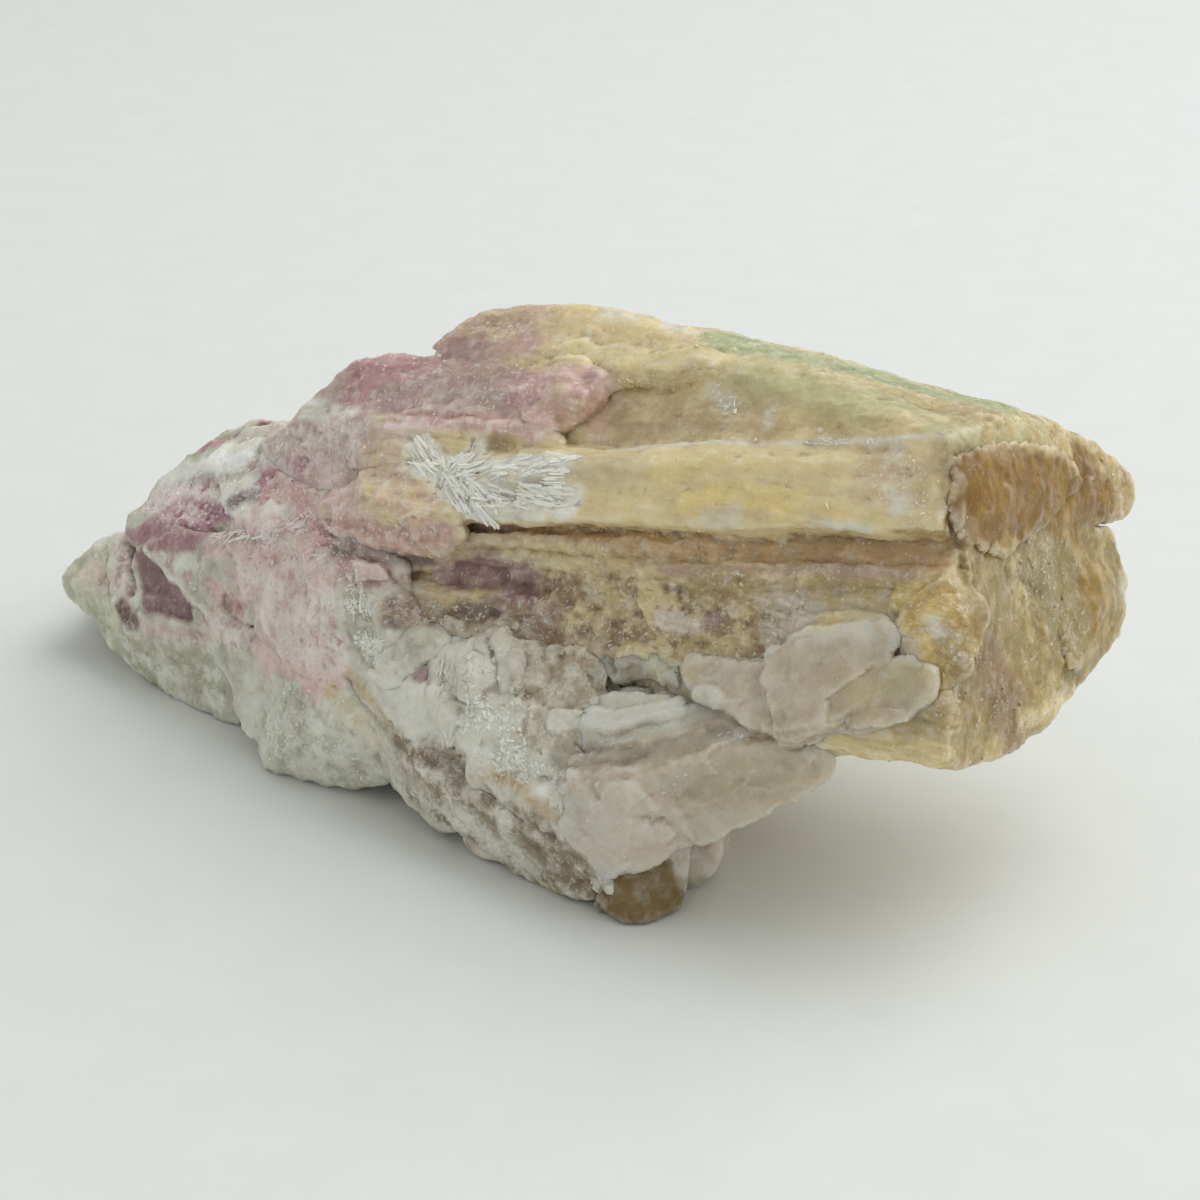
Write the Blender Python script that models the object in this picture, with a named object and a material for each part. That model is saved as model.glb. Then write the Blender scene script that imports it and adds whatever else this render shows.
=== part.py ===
"""Rubellite crystals in a quartz matrix: a broken hand specimen that lies on a table.

The specimen is laid out from a point of sight in front of it. Every point is (across, up, back) in
millimetres: across and up are read where the line of sight crosses the layout plane, which stands at
SIGHT_DISTANCE, and back is how far the point lies behind that plane. at() turns them into the frame of
the part, where X runs along the specimen, Z is up and the table is Z = 0.
"""

import math

import bmesh
import bpy
from mathutils import Vector

MM = 0.001

# The point of sight and the layout plane
SIGHT_DISTANCE = 283.3
SIGHT_TURN = math.radians(28)
SIGHT_TILT = math.radians(24)
PLANE_CENTRE = Vector((15.0, -11.8, 23.4))  # from the middle of the specimen's outline on the table

# The front of the crystals: a plane that turns towards the viewer to the right
FRONT_BACK = -11.0
FRONT_SLOPE = -0.58  # change of back for each millimetre across
END_SLOPE = 2.3  # change of back for each millimetre across on the broken right-hand end

JOINT_GAP = 0.45  # between neighbouring minerals
TABLE_CUT = 400.0
SOLIDS = "rubellite_in_quartz"


def at(across, up, back):
    """A layout point in the frame of the part, in metres."""
    nearness = 1 + back / SIGHT_DISTANCE
    turn, tilt = SIGHT_TURN, SIGHT_TILT
    right = Vector((math.cos(turn), math.sin(turn), 0))
    away = Vector((-math.sin(turn) * math.cos(tilt), math.cos(turn) * math.cos(tilt), -math.sin(tilt)))
    upward = Vector((-math.sin(turn) * math.sin(tilt), math.cos(turn) * math.sin(tilt), math.cos(tilt)))
    return (PLANE_CENTRE + right * across * nearness + upward * up * nearness + away * back) * MM


def from_front(points):
    """Points whose third value is counted from the crystals' front plane."""
    return [(x, y, FRONT_BACK + FRONT_SLOPE * x + o) for x, y, o in points]


def section(cut, across):
    """A crystal's cross-section, as (up, depth) pairs, standing where the front plane is at across."""
    return from_front([(across + o / END_SLOPE, y, o) for y, o in cut])


def hull(name, points, collection, grow=0.0):
    """A convex piece around the points, swollen from its middle by grow millimetres."""
    corners = [at(*p) for p in points]
    middle = sum(corners, Vector()) / len(corners)
    mesh = bpy.data.meshes.new(name)
    bm = bmesh.new()
    for corner in corners:
        outward = corner - middle
        bm.verts.new(corner + outward.normalized() * grow * MM)
    bmesh.ops.convex_hull(bm, input=bm.verts)
    loose = [v for v in bm.verts if not v.link_faces]
    bmesh.ops.delete(bm, geom=loose, context="VERTS")
    bmesh.ops.recalc_face_normals(bm, faces=bm.faces)
    bm.to_mesh(mesh)
    bm.free()
    piece = bpy.data.objects.new(name, mesh)
    collection.objects.link(piece)
    return piece


# Rubellite: parallel crystals, joined side by side -------------------------------------------------
# A section lists (up, depth behind the front plane) round a crystal.

UPPER_RIGHT = [
    (16.2, 1.5), (18.4, 14), (17.8, 26), (16.2, 33), (13.6, 40.5), (10.6, 43), (8.6, 42.5), (7.4, 30),
    (7, 1.5),
]
UPPER_LEFT = [(28.6, 14), (26, 34), (18, 44), (8, 42), (8, 5), (16, 7)]
LOWER_RIGHT = [
    (6.6, 3), (7.2, 38.5), (2, 41.5), (-1, 42), (-3.5, 41), (-6, 35.6), (-11, 24.2), (-14.5, 18.4),
    (-16, 12), (-17, 4), (-16.6, 0.6), (-5, 1),
]
LOWER_LEFT = [(8, 7), (8, 40), (-3, 38), (-7, 25), (-7, 8), (0, 6)]

RUBELLITE = {
    "upper_prism": section(UPPER_RIGHT, 34.5) + section(UPPER_LEFT, -12) + from_front([
        (13.5, 26.7, 14), (20, 24.8, 14), (27, 22.7, 14), (35, 20.2, 14), (14, 15.4, 4.4),
        (0, 15.2, 5.6),
    ]),
    "lower_prism": section(LOWER_RIGHT, 34.5) + section(LOWER_LEFT, -22),
    "top_layer": from_front([
        (-17, 25.2, 12), (-14, 27.6, 12), (-11, 29.2, 12.5), (-7, 29.6, 13), (-2, 29.5, 13),
        (3, 28.8, 13), (10, 27, 13), (15, 25.8, 13), (12.4, 23.8, 8.6), (9, 21.5, 6.4), (0, 21.4, 6.2),
        (-6, 23, 7), (-13, 23.2, 8), (-10, 26, 30), (8, 24, 30),
    ]),
    "pink_log": from_front([
        (-30.6, 18.2, 9), (-27, 21.6, 10), (-24.6, 24, 10.4), (-20, 24.6, 10.6), (-17, 24.4, 10),
        (-6, 23, 7), (-22, 17.8, 4.5), (-10, 17.2, 4.5), (-5.5, 17.4, 4), (-8, 21, 4), (-28, 18, 26),
        (-4, 21, 18),
    ]),
    "log_end": from_front([
        (-8, 22.4, 6), (-5, 23.8, 7), (-2, 24, 7), (0.2, 22.8, 6), (0.6, 20.4, 5), (-1.2, 17.8, 3.6),
        (-5.4, 16.8, 3.2), (-7.6, 18.4, 3), (-3.4, 20.6, 2.8), (-6, 19, 16), (0, 21, 14),
    ]),
    "log_root": from_front([
        (-31, 18, 10), (-34, 15.6, 14), (-29, 10.6, 8), (-22, 11.6, 3.4), (-20, 17, 3.6),
        (-25, 18.6, 5.4), (-28, 14, 24), (-22, 14, 20),
    ]),
    "salmon_ledge": from_front([
        (-22, 18.2, 4), (-12, 17.4, 3), (-6, 17.3, 3), (-3.4, 15.6, 2.8), (-5, 14.4, 3.4),
        (-12, 14, 2.6), (-20, 14.4, 2), (-25.4, 13.2, 3.4), (-23, 16, 16), (-5, 16, 16),
    ]),
    "middle_prism": section([(15.8, 4), (14.4, 1.5), (6.8, 0), (6.4, 2), (8, 20), (15, 20)], 34.5)
    + section([(14.6, 3.5), (13.2, 1), (8.6, 0.4), (8.2, 2), (8, 20), (14, 20)], -21),
    "middle_left": from_front([
        (-28, 10, 2), (-20, 14.4, 2), (-14.6, 9.2, -0.5), (-13.5, 6.2, -0.2), (-15.5, 4.2, 1),
        (-20, 5.2, 1), (-27, 6.6, 1.5), (-28.5, 8.6, 2), (-20, 10, -0.6), (-27, 8, 16), (-15, 8, 14),
    ]),
    "recess_wall": from_front([
        (-22, 8, 4.5), (-26, 6.2, 5), (-25.4, 3.8, 5), (37, 7, 3.5), (37, 2, 3.5), (-14, 6, 4),
        (-14, 5.6, 5), (4, 1, 4), (37, 4, 20), (-20, 5, 20),
    ]),
    "thin_ledge": from_front([
        (-14, 7, 2.4), (5, 6, 2.4), (10, 5, 2.6), (4, 4.8, 2.6), (-14, 5.6, 2.6), (-14, 6.5, 9),
        (8, 5.5, 9),
    ]),
    "lower_band": from_front([
        (-5, 2.5, 4), (4, 3.4, 2.2), (22, 3.6, 1.6), (35, 3, 1.6), (35, -6, 1), (22, -6, 1.2),
        (2, -6, 2.4), (-4, -3, 3.2), (12, -1, 0.8), (-4, 0, 14), (34, 0, 14),
    ]),
    "mauve_floor": from_front([
        (-25, 2, 5), (-17, 0.5, 3.4), (-8, 0.2, 3.6), (0, 0, 3.4), (4, -3, 3), (2, -7, 4), (-10, -7, 4),
        (-20, -4, 4), (-24, -2, 6), (-20, 0, 20), (0, 0, 20),
    ]),
    "end_dome": from_front([
        (36, 14.8, 1.4), (35, 9.5, -0.4), (36.4, 5.6, 1.4), (40.5, 16.4, 11), (46, 15.4, 23.4),
        (45, 7, 21), (40, 4, 9.6), (40.4, 10.6, 8.6), (48.4, 12, 30), (40, 10, 20),
    ]),
    "end_rim": from_front([
        (48, 8.8, 31), (51.6, 14.6, 39), (53.4, 11.4, 43), (53.2, 8.8, 42.6), (50.4, 9, 36),
        (50, 13.2, 34.6), (50, 12, 41),
    ]),
    "crystal_root": from_front([
        (-29, 12, 18), (-27, 18, 22), (-18, 24, 24), (-12, 26.4, 30), (-4, 22, 42), (-6, 10, 45),
        (-16, 8, 42), (-25, 4, 34), (-25, 0, 14), (-10, 0, 12), (-10, 24, 14), (-20, -3, 30),
        (-23, 14, 34),
    ]),
    "rear_prism": from_front([
        (-24, 8, 38), (-22, 17, 36), (-12, 26, 32), (0, 26.6, 33), (7, 20, 43), (7, 6, 43),
        (-10, 3, 45), (-22, 2, 40), (-12, 10, 20), (0, 10, 20), (3, 14, 45),
    ]),
    "lower_rim": from_front([
        (46.8, 2, 27.4), (51.2, 5.6, 38.4), (52.6, 2.2, 41.4), (52.4, -2, 41.6), (49.6, -6.2, 35),
        (47, -7, 26), (46, -3, 24.6), (49.6, 0, 32), (48, 0, 40),
    ]),
    "end_foot": from_front([
        (34, 2.5, 0.2), (30, -1, 0), (31, -9, -0.4), (37, -8, 1.5), (39, -1, 5), (36, 3, 3),
        (30, -6, 10), (37, -4, 14),
    ]),
}

# A hollow under the front edge, where the crystals have parted
RUBELLITE_PITS = {
    "dark_hollow": from_front([
        (-16.4, 4.6, -3), (-7, 5, -3), (-5.4, 2.6, -3), (-8, 0.6, -3), (-15.4, 0.2, -3),
        (-14, 4.4, 6.4), (-8, 3.6, 6), (-9, 1.2, 5), (-14, 1, 6),
    ]),
    "end_notch": from_front([
        (55, 9, 46), (51.2, 7.8, 38), (55, 6.4, 46), (54, 7.6, 36), (51, 7.6, 44),
    ]),
}

# Matrix: white quartz and feldspar, grown as one mass ----------------------------------------------

MATRIX = {
    "left_tip": [
        (-53.8, 2.4, 42), (-52.4, 4, 43), (-48, 6.6, 41), (-45, 3, 34), (-47, -1.6, 33),
        (-50.4, -2.6, 39), (-53, 0.2, 42), (-47, 2, 54),
    ],
    "left_block": [
        (-50.4, -2.8, 40), (-48.6, -5.4, 38), (-45, -8.8, 35.5), (-41, -10.8, 32), (-37.6, -11.4, 28),
        (-36.2, -13, 26.6), (-35.6, -7, 22), (-36.6, -2.6, 22), (-46.6, -2.4, 32), (-46, 1, 31),
        (-44, -2, 58), (-38, -4, 50),
    ],
    "left_facet": [
        (-46.6, 5, 34), (-43.4, 2, 30), (-38, -1.6, 23), (-36.6, -3, 21.4), (-39, -2.8, 24),
        (-46.8, -2, 32.5), (-40, 2, 46),
    ],
    "left_face": [
        (-46.6, 5, 34), (-36.6, -3, 21.4), (-33, -2, 16), (-31, 4, 13), (-36, 6.4, 20), (-42, 7.2, 28),
        (-38, 2, 46),
    ],
    "mauve_prism": [
        (-47.8, 6.4, 38), (-47.2, 8.6, 38), (-44.6, 10.4, 37), (-38.4, 10.6, 28), (-37, 7.6, 24),
        (-39.4, 5, 26), (-46, 5, 34), (-40, 8, 48),
    ],
    "left_top": [
        (-47.2, 8.4, 39), (-44.8, 11.4, 38), (-40, 14.6, 36), (-39, 15.6, 36), (-35.6, 17.2, 33),
        (-31, 18, 28), (-30, 15.6, 19), (-35, 12.4, 24), (-40, 10, 30), (-38, 8, 56),
    ],
    "pink_sliver": [
        (-39.2, 15.2, 37), (-37.6, 16.6, 37), (-34.6, 17.6, 36), (-30, 18, 34), (-32, 16, 33),
        (-35, 12, 50),
    ],
    "pink_shoulder": [
        (-40, 8.6, 28.4), (-39, 12, 29.6), (-33, 14.6, 21), (-29, 15, 16), (-24, 12, 10), (-24, 8, 5),
        (-30, 5, 9), (-34, 8, 16), (-22, 0, 5), (-30, 0, 11), (-24, 10, 40), (-38, 8, 44),
    ],
    "pink_front": [
        (-33, 3, 13), (-28, 5, 7), (-22, 5, 4), (-19.6, 4, 3.4), (-19, 1, 3.2), (-22, -6, 4),
        (-24, -9, 6), (-30, -7, 10), (-35, -3, 16), (-25, -2, 2.4), (-25, 0, 24),
    ],
    "salmon_bump": [
        (-25, 4.2, 2.8), (-21.4, 3.6, 1.8), (-21, 2, 1.6), (-24.6, 1.8, 2.4), (-23, 3, 12),
    ],
    "low_shoulder": [
        (-37.6, -3, 22), (-37, -8, 22), (-36.2, -12.6, 21), (-33, -15.6, 17), (-28, -8, 9),
        (-31, -3, 12), (-34, -8, 38), (-30, -12, 34),
    ],
    "low_lump": [
        (-34.6, -12, 18), (-33.8, -17, 16.5), (-31, -17.4, 15), (-27.8, -18.2, 13), (-24.4, -19, 10),
        (-21.4, -18, 8), (-20, -12, 4), (-24, -7, 6), (-30, -7.6, 11), (-27, -12, 6.4),
        (-31, -13, 11.4), (-24, -17, 34), (-34, -9, 34),
    ],
    "white_plate": [
        (-25.4, 2, 4.4), (-21.5, 2.5, 3), (-19, 0, 2.2), (-17.6, -4, 1.6), (-20, -8.4, 1.4),
        (-23.4, -9, 4), (-25, -5, 4.6), (-21, -3, 0.4), (-20, -4, 20),
    ],
    "white_ridge": [
        (-22.8, -8.2, 2.2), (-22, -6.4, 0.6), (-18.6, -3.4, -0.6), (-15.8, -2.6, -0.4),
        (-15.6, -4.4, -0.8), (-18.4, -6.6, -1), (-20.6, -8.4, 0.6), (-17, -5, 10),
    ],
    "wedge": [
        (-24, -6.5, 5), (-18, -14, -1), (-7, -22.5, -9), (0, -26.8, -13), (1.5, -29.6, -13.4),
        (-2.5, -29.8, -9), (-6, -28.8, -6), (-9, -27.2, -4), (0, -28, 6), (-18, -16, 24),
        (-12, -20, -6.4),
    ],
    "wedge_left": [
        (-24.4, -6.5, 5), (-19, -13, 0), (-14, -18, -4.6), (-12.6, -20.6, -5.4), (-13.2, -23.8, -2.6),
        (-15.4, -23.8, 0.6), (-17.6, -21.6, 3), (-20.6, -18, 8), (-18, -16, 24), (-22, -10, 20),
        (-19.6, -15.6, 0.4),
    ],
    "wedge_toe": [
        (-13, -21.4, -3.4), (-9, -22.4, -7.6), (-5, -25, -10.2), (-4.4, -28.2, -8.4), (-8, -27.6, -4),
        (-12, -25.6, -1), (-13.6, -24, 0), (-8, -24, 14),
    ],
    "white_face": [
        (-22.9, -7.6, 3), (-20, -6.6, 1.4), (-16, -6.2, 0.4), (-14.8, -9, -1), (-14.6, -13.4, -2.6),
        (-16.2, -14.2, -2.2), (-19.7, -13, -0.4), (-21.1, -11.1, 1.2), (-16, -8, 16),
    ],
    "column": [
        (-16.4, -5.2, -0.6), (-13.6, -4.6, -2), (-12.4, -9, -4), (-13, -14, -5.4), (-15.6, -14.6, -3.6),
        (-16.4, -10, -2.6), (-14, -8, 14),
    ],
    "white_block": [
        (-13.8, -5.6, -2.6), (-10.4, -3.2, -2.8), (-8.2, -5.6, -6), (-7.8, -10.6, -7.8),
        (-13.2, -10.8, -5.2), (-13.6, -7, -4.4), (-8.4, -7, -7.2), (-11, -6, 12), (-9, -11, 10),
    ],
    "pale_plate": [
        (-8.6, -4.8, -4.6), (-2, -5, -8), (0.6, -6.4, -9.4), (0.8, -11.4, -12), (-8.6, -11.4, -7.6),
        (-4, -8, 10), (-2, -11, 8),
    ],
    "white_heap": [
        (-13.8, -10.4, -4), (-8.6, -10.6, -7.4), (-7, -14, -9.2), (-8.4, -17.4, -9.4),
        (-12.6, -17.6, -6.6), (-14.4, -14, -4.6), (-10.4, -13.6, -8.2), (-10, -13, 14),
    ],
    "curved_lobe": [
        (-8.6, -11, -7), (-3, -10.6, -10), (0, -12, -12), (-0.6, -16.6, -13.4), (-5, -17.4, -12),
        (-9, -16.6, -9), (-4, -13.4, -12.2), (-4, -13, 10),
    ],
    "low_quartz": [
        (-14, -16, -4.4), (-8, -16.8, -9), (-2.6, -16.6, -12.2), (-2.6, -24.4, -12.8),
        (-5.8, -22.9, -10.8), (-9, -20.4, -8.8), (-13, -17.4, -5.4), (-6, -19, -11.6), (-8, -18, 12),
        (-3, -20, 12),
    ],
    "back_bed": [
        (-46, -1, 52), (-40, -9, 30), (-30, -13, 24), (-20, -14, 22), (-6, -17, 14), (6, -14, 19),
        (16, -12, 27), (14, -11.6, 32), (21, -10.6, 34), (23, -3, 38), (14, 2, 44), (-6, 3, 50),
        (-22, 2, 55), (-38, 3, 57), (-10, 9, 47), (-24, 12, 47), (6, 4, 42), (20, -3, 18), (-10, -6, 8),
        (-34, 10, 50),
    ],
    "rear_lump": [
        (-14, 8, 47), (-5, 12, 45), (4, 8, 45), (9, 0, 48), (0, -3, 50), (-13, -1, 54), (-18, 4, 53),
        (-4, 2, 20),
    ],
    "rear_corner": [
        (9, 0, 44), (18, 1, 40), (26, -2, 37), (25.4, -8, 35), (14, -9, 40), (8, -8, 43), (16, -4, 20),
    ],
    "left_back": [
        (-51, -0.6, 50), (-50.4, 3.6, 54), (-46.4, 8.2, 56), (-38, 13, 54), (-30, 15.6, 49),
        (-24, 15, 50), (-18, 12, 50), (-18, 2, 54), (-30, -1.4, 57), (-40, -1.4, 57), (-49, -2, 40),
        (-30, 10, 30),
    ],
}

# Glassy quartz: broken blades that lean out from under the crystals --------------------------------

GLASSY = {
    "long_blade": [
        (-3.4, -10.4, -9.4), (4, -10.4, -13.6), (12, -11, -17.4), (18, -12.4, -20.4), (22.8, -15, -22),
        (23, -16.4, -21.6), (21.6, -18.6, -20), (17, -21.2, -18.6), (12, -22.8, -17), (8, -24.8, -15.6),
        (4.6, -26.4, -14.4), (1.2, -27.2, -13.6), (-1, -26.2, -12.8), (-4.2, -22.8, -11),
        (2, -17, -17.6), (10, -15.4, -21), (16, -14.6, -22.6), (0, -12, 4), (16, -14, -6), (4, -22, 2),
    ],
    "front_plate": [
        (-4.2, -16.2, -12), (0, -15.2, -15.4), (5.6, -15.8, -18.4), (7, -19.6, -18.2), (6, -24, -16),
        (1.4, -27.2, -14), (-3.6, -23.6, -11.4), (2, -20, -18), (2, -20, -6),
    ],
    "white_band": [
        (-4.4, -11, -8.6), (2, -9.8, -12.4), (8, -10, -15.6), (12.4, -12.6, -17.8), (8, -13.6, -16.8),
        (0, -13.6, -13.2), (-4, -13, -10), (0, -11, 2), (10, -12, -4),
    ],
    "right_blade": [
        (17.6, -5.2, -22), (20.4, -4.2, -25), (26, -4, -27.4), (29, -5.6, -28.6), (28.4, -9.4, -29),
        (24, -12, -28), (20, -13.6, -26.4), (17.8, -14.2, -25), (17.2, -9, -24), (21, -8, -27),
        (21, -7, -12), (27, -7, -16), (18, -15, -14),
    ],
    "right_head": [
        (19.6, -1.6, -23.6), (23, -1, -25.4), (28.6, -1.6, -28.4), (30, -4, -29.4), (28, -6.6, -29),
        (19, -6, -24), (24, -4, -12),
    ],
    "right_tail": [
        (27, -6.6, -28), (31, -6, -30), (34, -7, -31.4), (33.4, -9.6, -31.4), (30.6, -12.4, -30.4),
        (25, -13.4, -28), (24, -11, -27), (30, -8, -16),
    ],
    "second_blade": [
        (8.6, -6.4, -15.6), (13, -6.2, -19), (18, -6.6, -22.4), (18, -14, -24.4), (15, -12, -22.6),
        (11.4, -9.4, -19), (8.4, -8, -16), (12, -8, -4), (17, -9, -10), (15, -14, -12),
    ],
    "upper_ledge": [
        (-6, -5.4, -6), (2, -6.2, -10.4), (9.4, -6.8, -15), (9, -8, -14.6), (3, -7.8, -10.6),
        (-5, -7.6, -7), (0, -7, 4), (8, -7.4, 0),
    ],
    "cavity_floor": [
        (-5, -7, -4), (3, -7, -7.4), (10, -8, -11), (11, -11, -13), (2, -11, -9), (-5, -11, -6),
        (2, -9, 8), (10, -9, 2), (14, -12, -12),
    ],
    "rear_lobe": [
        (8.4, -22, -8), (12.2, -23.4, -8.4), (12.6, -26, -8), (11.6, -28.4, -7.6), (9.6, -29.6, -7),
        (6, -30, -4), (6, -22, -2), (12, -24, 6), (8, -28.6, 2), (13.4, -22.6, -4),
    ],
}

# A small weathered crystal under the blades, on which the specimen stands
FOOT = [
    (-1.6, -27, -10), (0, -30.8, -11.4), (2.2, -32.4, -12.6), (5.2, -32.6, -12.8), (8, -30.8, -10.6),
    (9.3, -27, -10.5), (8.8, -23.4, -9.5), (3, -22, -10), (4, -29, -14), (6, -30.4, -2), (0, -29, -2),
    (4, -22, -2),
]


def combined(name, base, others, operation, collection):
    """A plain solid of base joined with or cut by the others.

    The hulls share edges and planes where they meet, and the manifold solver closes those cleanly.
    """
    for other in others:
        modifier = base.modifiers.new(other.name, "BOOLEAN")
        modifier.operation = operation
        modifier.solver = "MANIFOLD"
        modifier.object = other
    graph = bpy.context.evaluated_depsgraph_get()
    graph.update()
    mesh = bpy.data.meshes.new_from_object(base.evaluated_get(graph))
    solid = bpy.data.objects.new(name, mesh)
    collection.objects.link(solid)
    return solid


def mass(name, shapes, collection, grow=0.0):
    """One solid of all the hulls in shapes."""
    hulls = [hull(f"{name} {key}", points, collection, grow) for key, points in shapes.items()]
    return combined(name, hulls[0], hulls[1:], "UNION", collection)


def table_block(collection):
    """The room under the table's surface."""
    bpy.ops.mesh.primitive_cube_add(size=TABLE_CUT * MM, location=(0, 0, -TABLE_CUT * MM / 2))
    block = bpy.context.object
    block.name = "table_block"
    for old in list(block.users_collection):
        old.objects.unlink(block)
    collection.objects.link(block)
    return block


def material(name, colour, roughness):
    made = bpy.data.materials.new(name)
    made.use_nodes = True
    shader = made.node_tree.nodes["Principled BSDF"]
    shader.inputs["Base Color"].default_value = (*colour, 1)
    shader.inputs["Roughness"].default_value = roughness
    shader.inputs["Metallic"].default_value = 0
    return made


def minerals(solids, helpers):
    """Each mineral with its colour and roughness, cut clear of the ones that it grew around."""
    table = table_block(helpers)
    pits = [hull(name, points, helpers) for name, points in RUBELLITE_PITS.items()]
    crystal_room = mass("crystal room", RUBELLITE, helpers, JOINT_GAP)
    matrix_room = mass("matrix room", MATRIX, helpers, JOINT_GAP)
    glassy_room = mass("glassy room", GLASSY, helpers, JOINT_GAP)

    crystal = mass("crystal mass", RUBELLITE, helpers)
    matrix = mass("matrix mass", MATRIX, helpers)
    glassy = mass("glassy mass", GLASSY, helpers)
    foot = hull("foot mass", FOOT, helpers)
    cuts = [
        ("rubellite_crystal", crystal, [*pits, table], (0.62, 0.45, 0.36), 0.4),
        ("quartz_matrix", matrix, [crystal_room, table], (0.68, 0.68, 0.62), 0.55),
        ("glassy_quartz", glassy, [crystal_room, matrix_room, table], (0.66, 0.62, 0.54), 0.3),
        ("foot_crystal", foot, [matrix_room, glassy_room, table], (0.36, 0.28, 0.13), 0.45),
    ]
    return [
        (combined(name, whole, cutters, "DIFFERENCE", solids), colour, roughness)
        for name, whole, cutters, colour, roughness in cuts
    ]


def main():
    for obj in list(bpy.data.objects):
        bpy.data.objects.remove(obj)
    solids = bpy.data.collections.new(SOLIDS)
    helpers = bpy.data.collections.new("cutters")
    helpers.hide_render = True
    for collection in (solids, helpers):
        bpy.context.scene.collection.children.link(collection)
    for mineral, colour, roughness in minerals(solids, helpers):
        mineral.data.materials.clear()
        mineral.data.materials.append(material(mineral.name, colour, roughness))
    for helper in helpers.objects:
        helper.hide_render = True
        helper.display_type = "WIRE"


main()
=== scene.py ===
"""Rubellite in quartz matrix: broken surfaces, mineral colours and small crystals built over the CAD solids."""

import itertools
import math

import bmesh
import bpy
import numpy as np
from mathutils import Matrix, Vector
from mathutils.bvhtree import BVHTree
from mathutils.kdtree import KDTree


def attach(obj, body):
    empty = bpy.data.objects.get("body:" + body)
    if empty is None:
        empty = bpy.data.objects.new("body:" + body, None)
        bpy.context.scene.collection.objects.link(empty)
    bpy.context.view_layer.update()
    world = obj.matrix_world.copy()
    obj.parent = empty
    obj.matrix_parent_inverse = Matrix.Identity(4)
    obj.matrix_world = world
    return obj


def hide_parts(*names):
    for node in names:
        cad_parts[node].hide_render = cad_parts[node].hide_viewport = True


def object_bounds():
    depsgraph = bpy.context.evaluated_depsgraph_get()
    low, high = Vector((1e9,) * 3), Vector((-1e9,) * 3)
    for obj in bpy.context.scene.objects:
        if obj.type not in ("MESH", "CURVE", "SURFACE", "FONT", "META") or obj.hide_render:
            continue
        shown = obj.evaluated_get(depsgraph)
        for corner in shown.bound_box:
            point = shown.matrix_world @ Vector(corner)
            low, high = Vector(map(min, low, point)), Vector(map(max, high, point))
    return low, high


MM = 0.001
METRE = 1000.0  # mm

# The sight line that the specimen is laid out along; lengths in mm.
SIGHT_DISTANCE = 283.3
SIGHT_TURN = math.radians(28)
SIGHT_TILT = math.radians(24)
PLANE_CENTRE = np.array((15.0, -11.8, 23.4))
SIGHT_RIGHT = np.array((math.cos(SIGHT_TURN), math.sin(SIGHT_TURN), 0.0))
SIGHT_AWAY = np.array((
    -math.sin(SIGHT_TURN) * math.cos(SIGHT_TILT),
    math.cos(SIGHT_TURN) * math.cos(SIGHT_TILT),
    -math.sin(SIGHT_TILT),
))
SIGHT_UP = np.cross(SIGHT_RIGHT, SIGHT_AWAY)

# The crystal's own directions: along its length, across it to the back, and square to both.
ALONG = np.array((0.98, 0.0, 0.20))
BACKWARD = np.array((0.0, 1.0, 0.0))
OUTWARD = np.array((-0.20, 0.0, 0.98))

MILKY = "milk"        # what a zone's own second colour goes towards, and how far
PALE = 0.35

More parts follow.
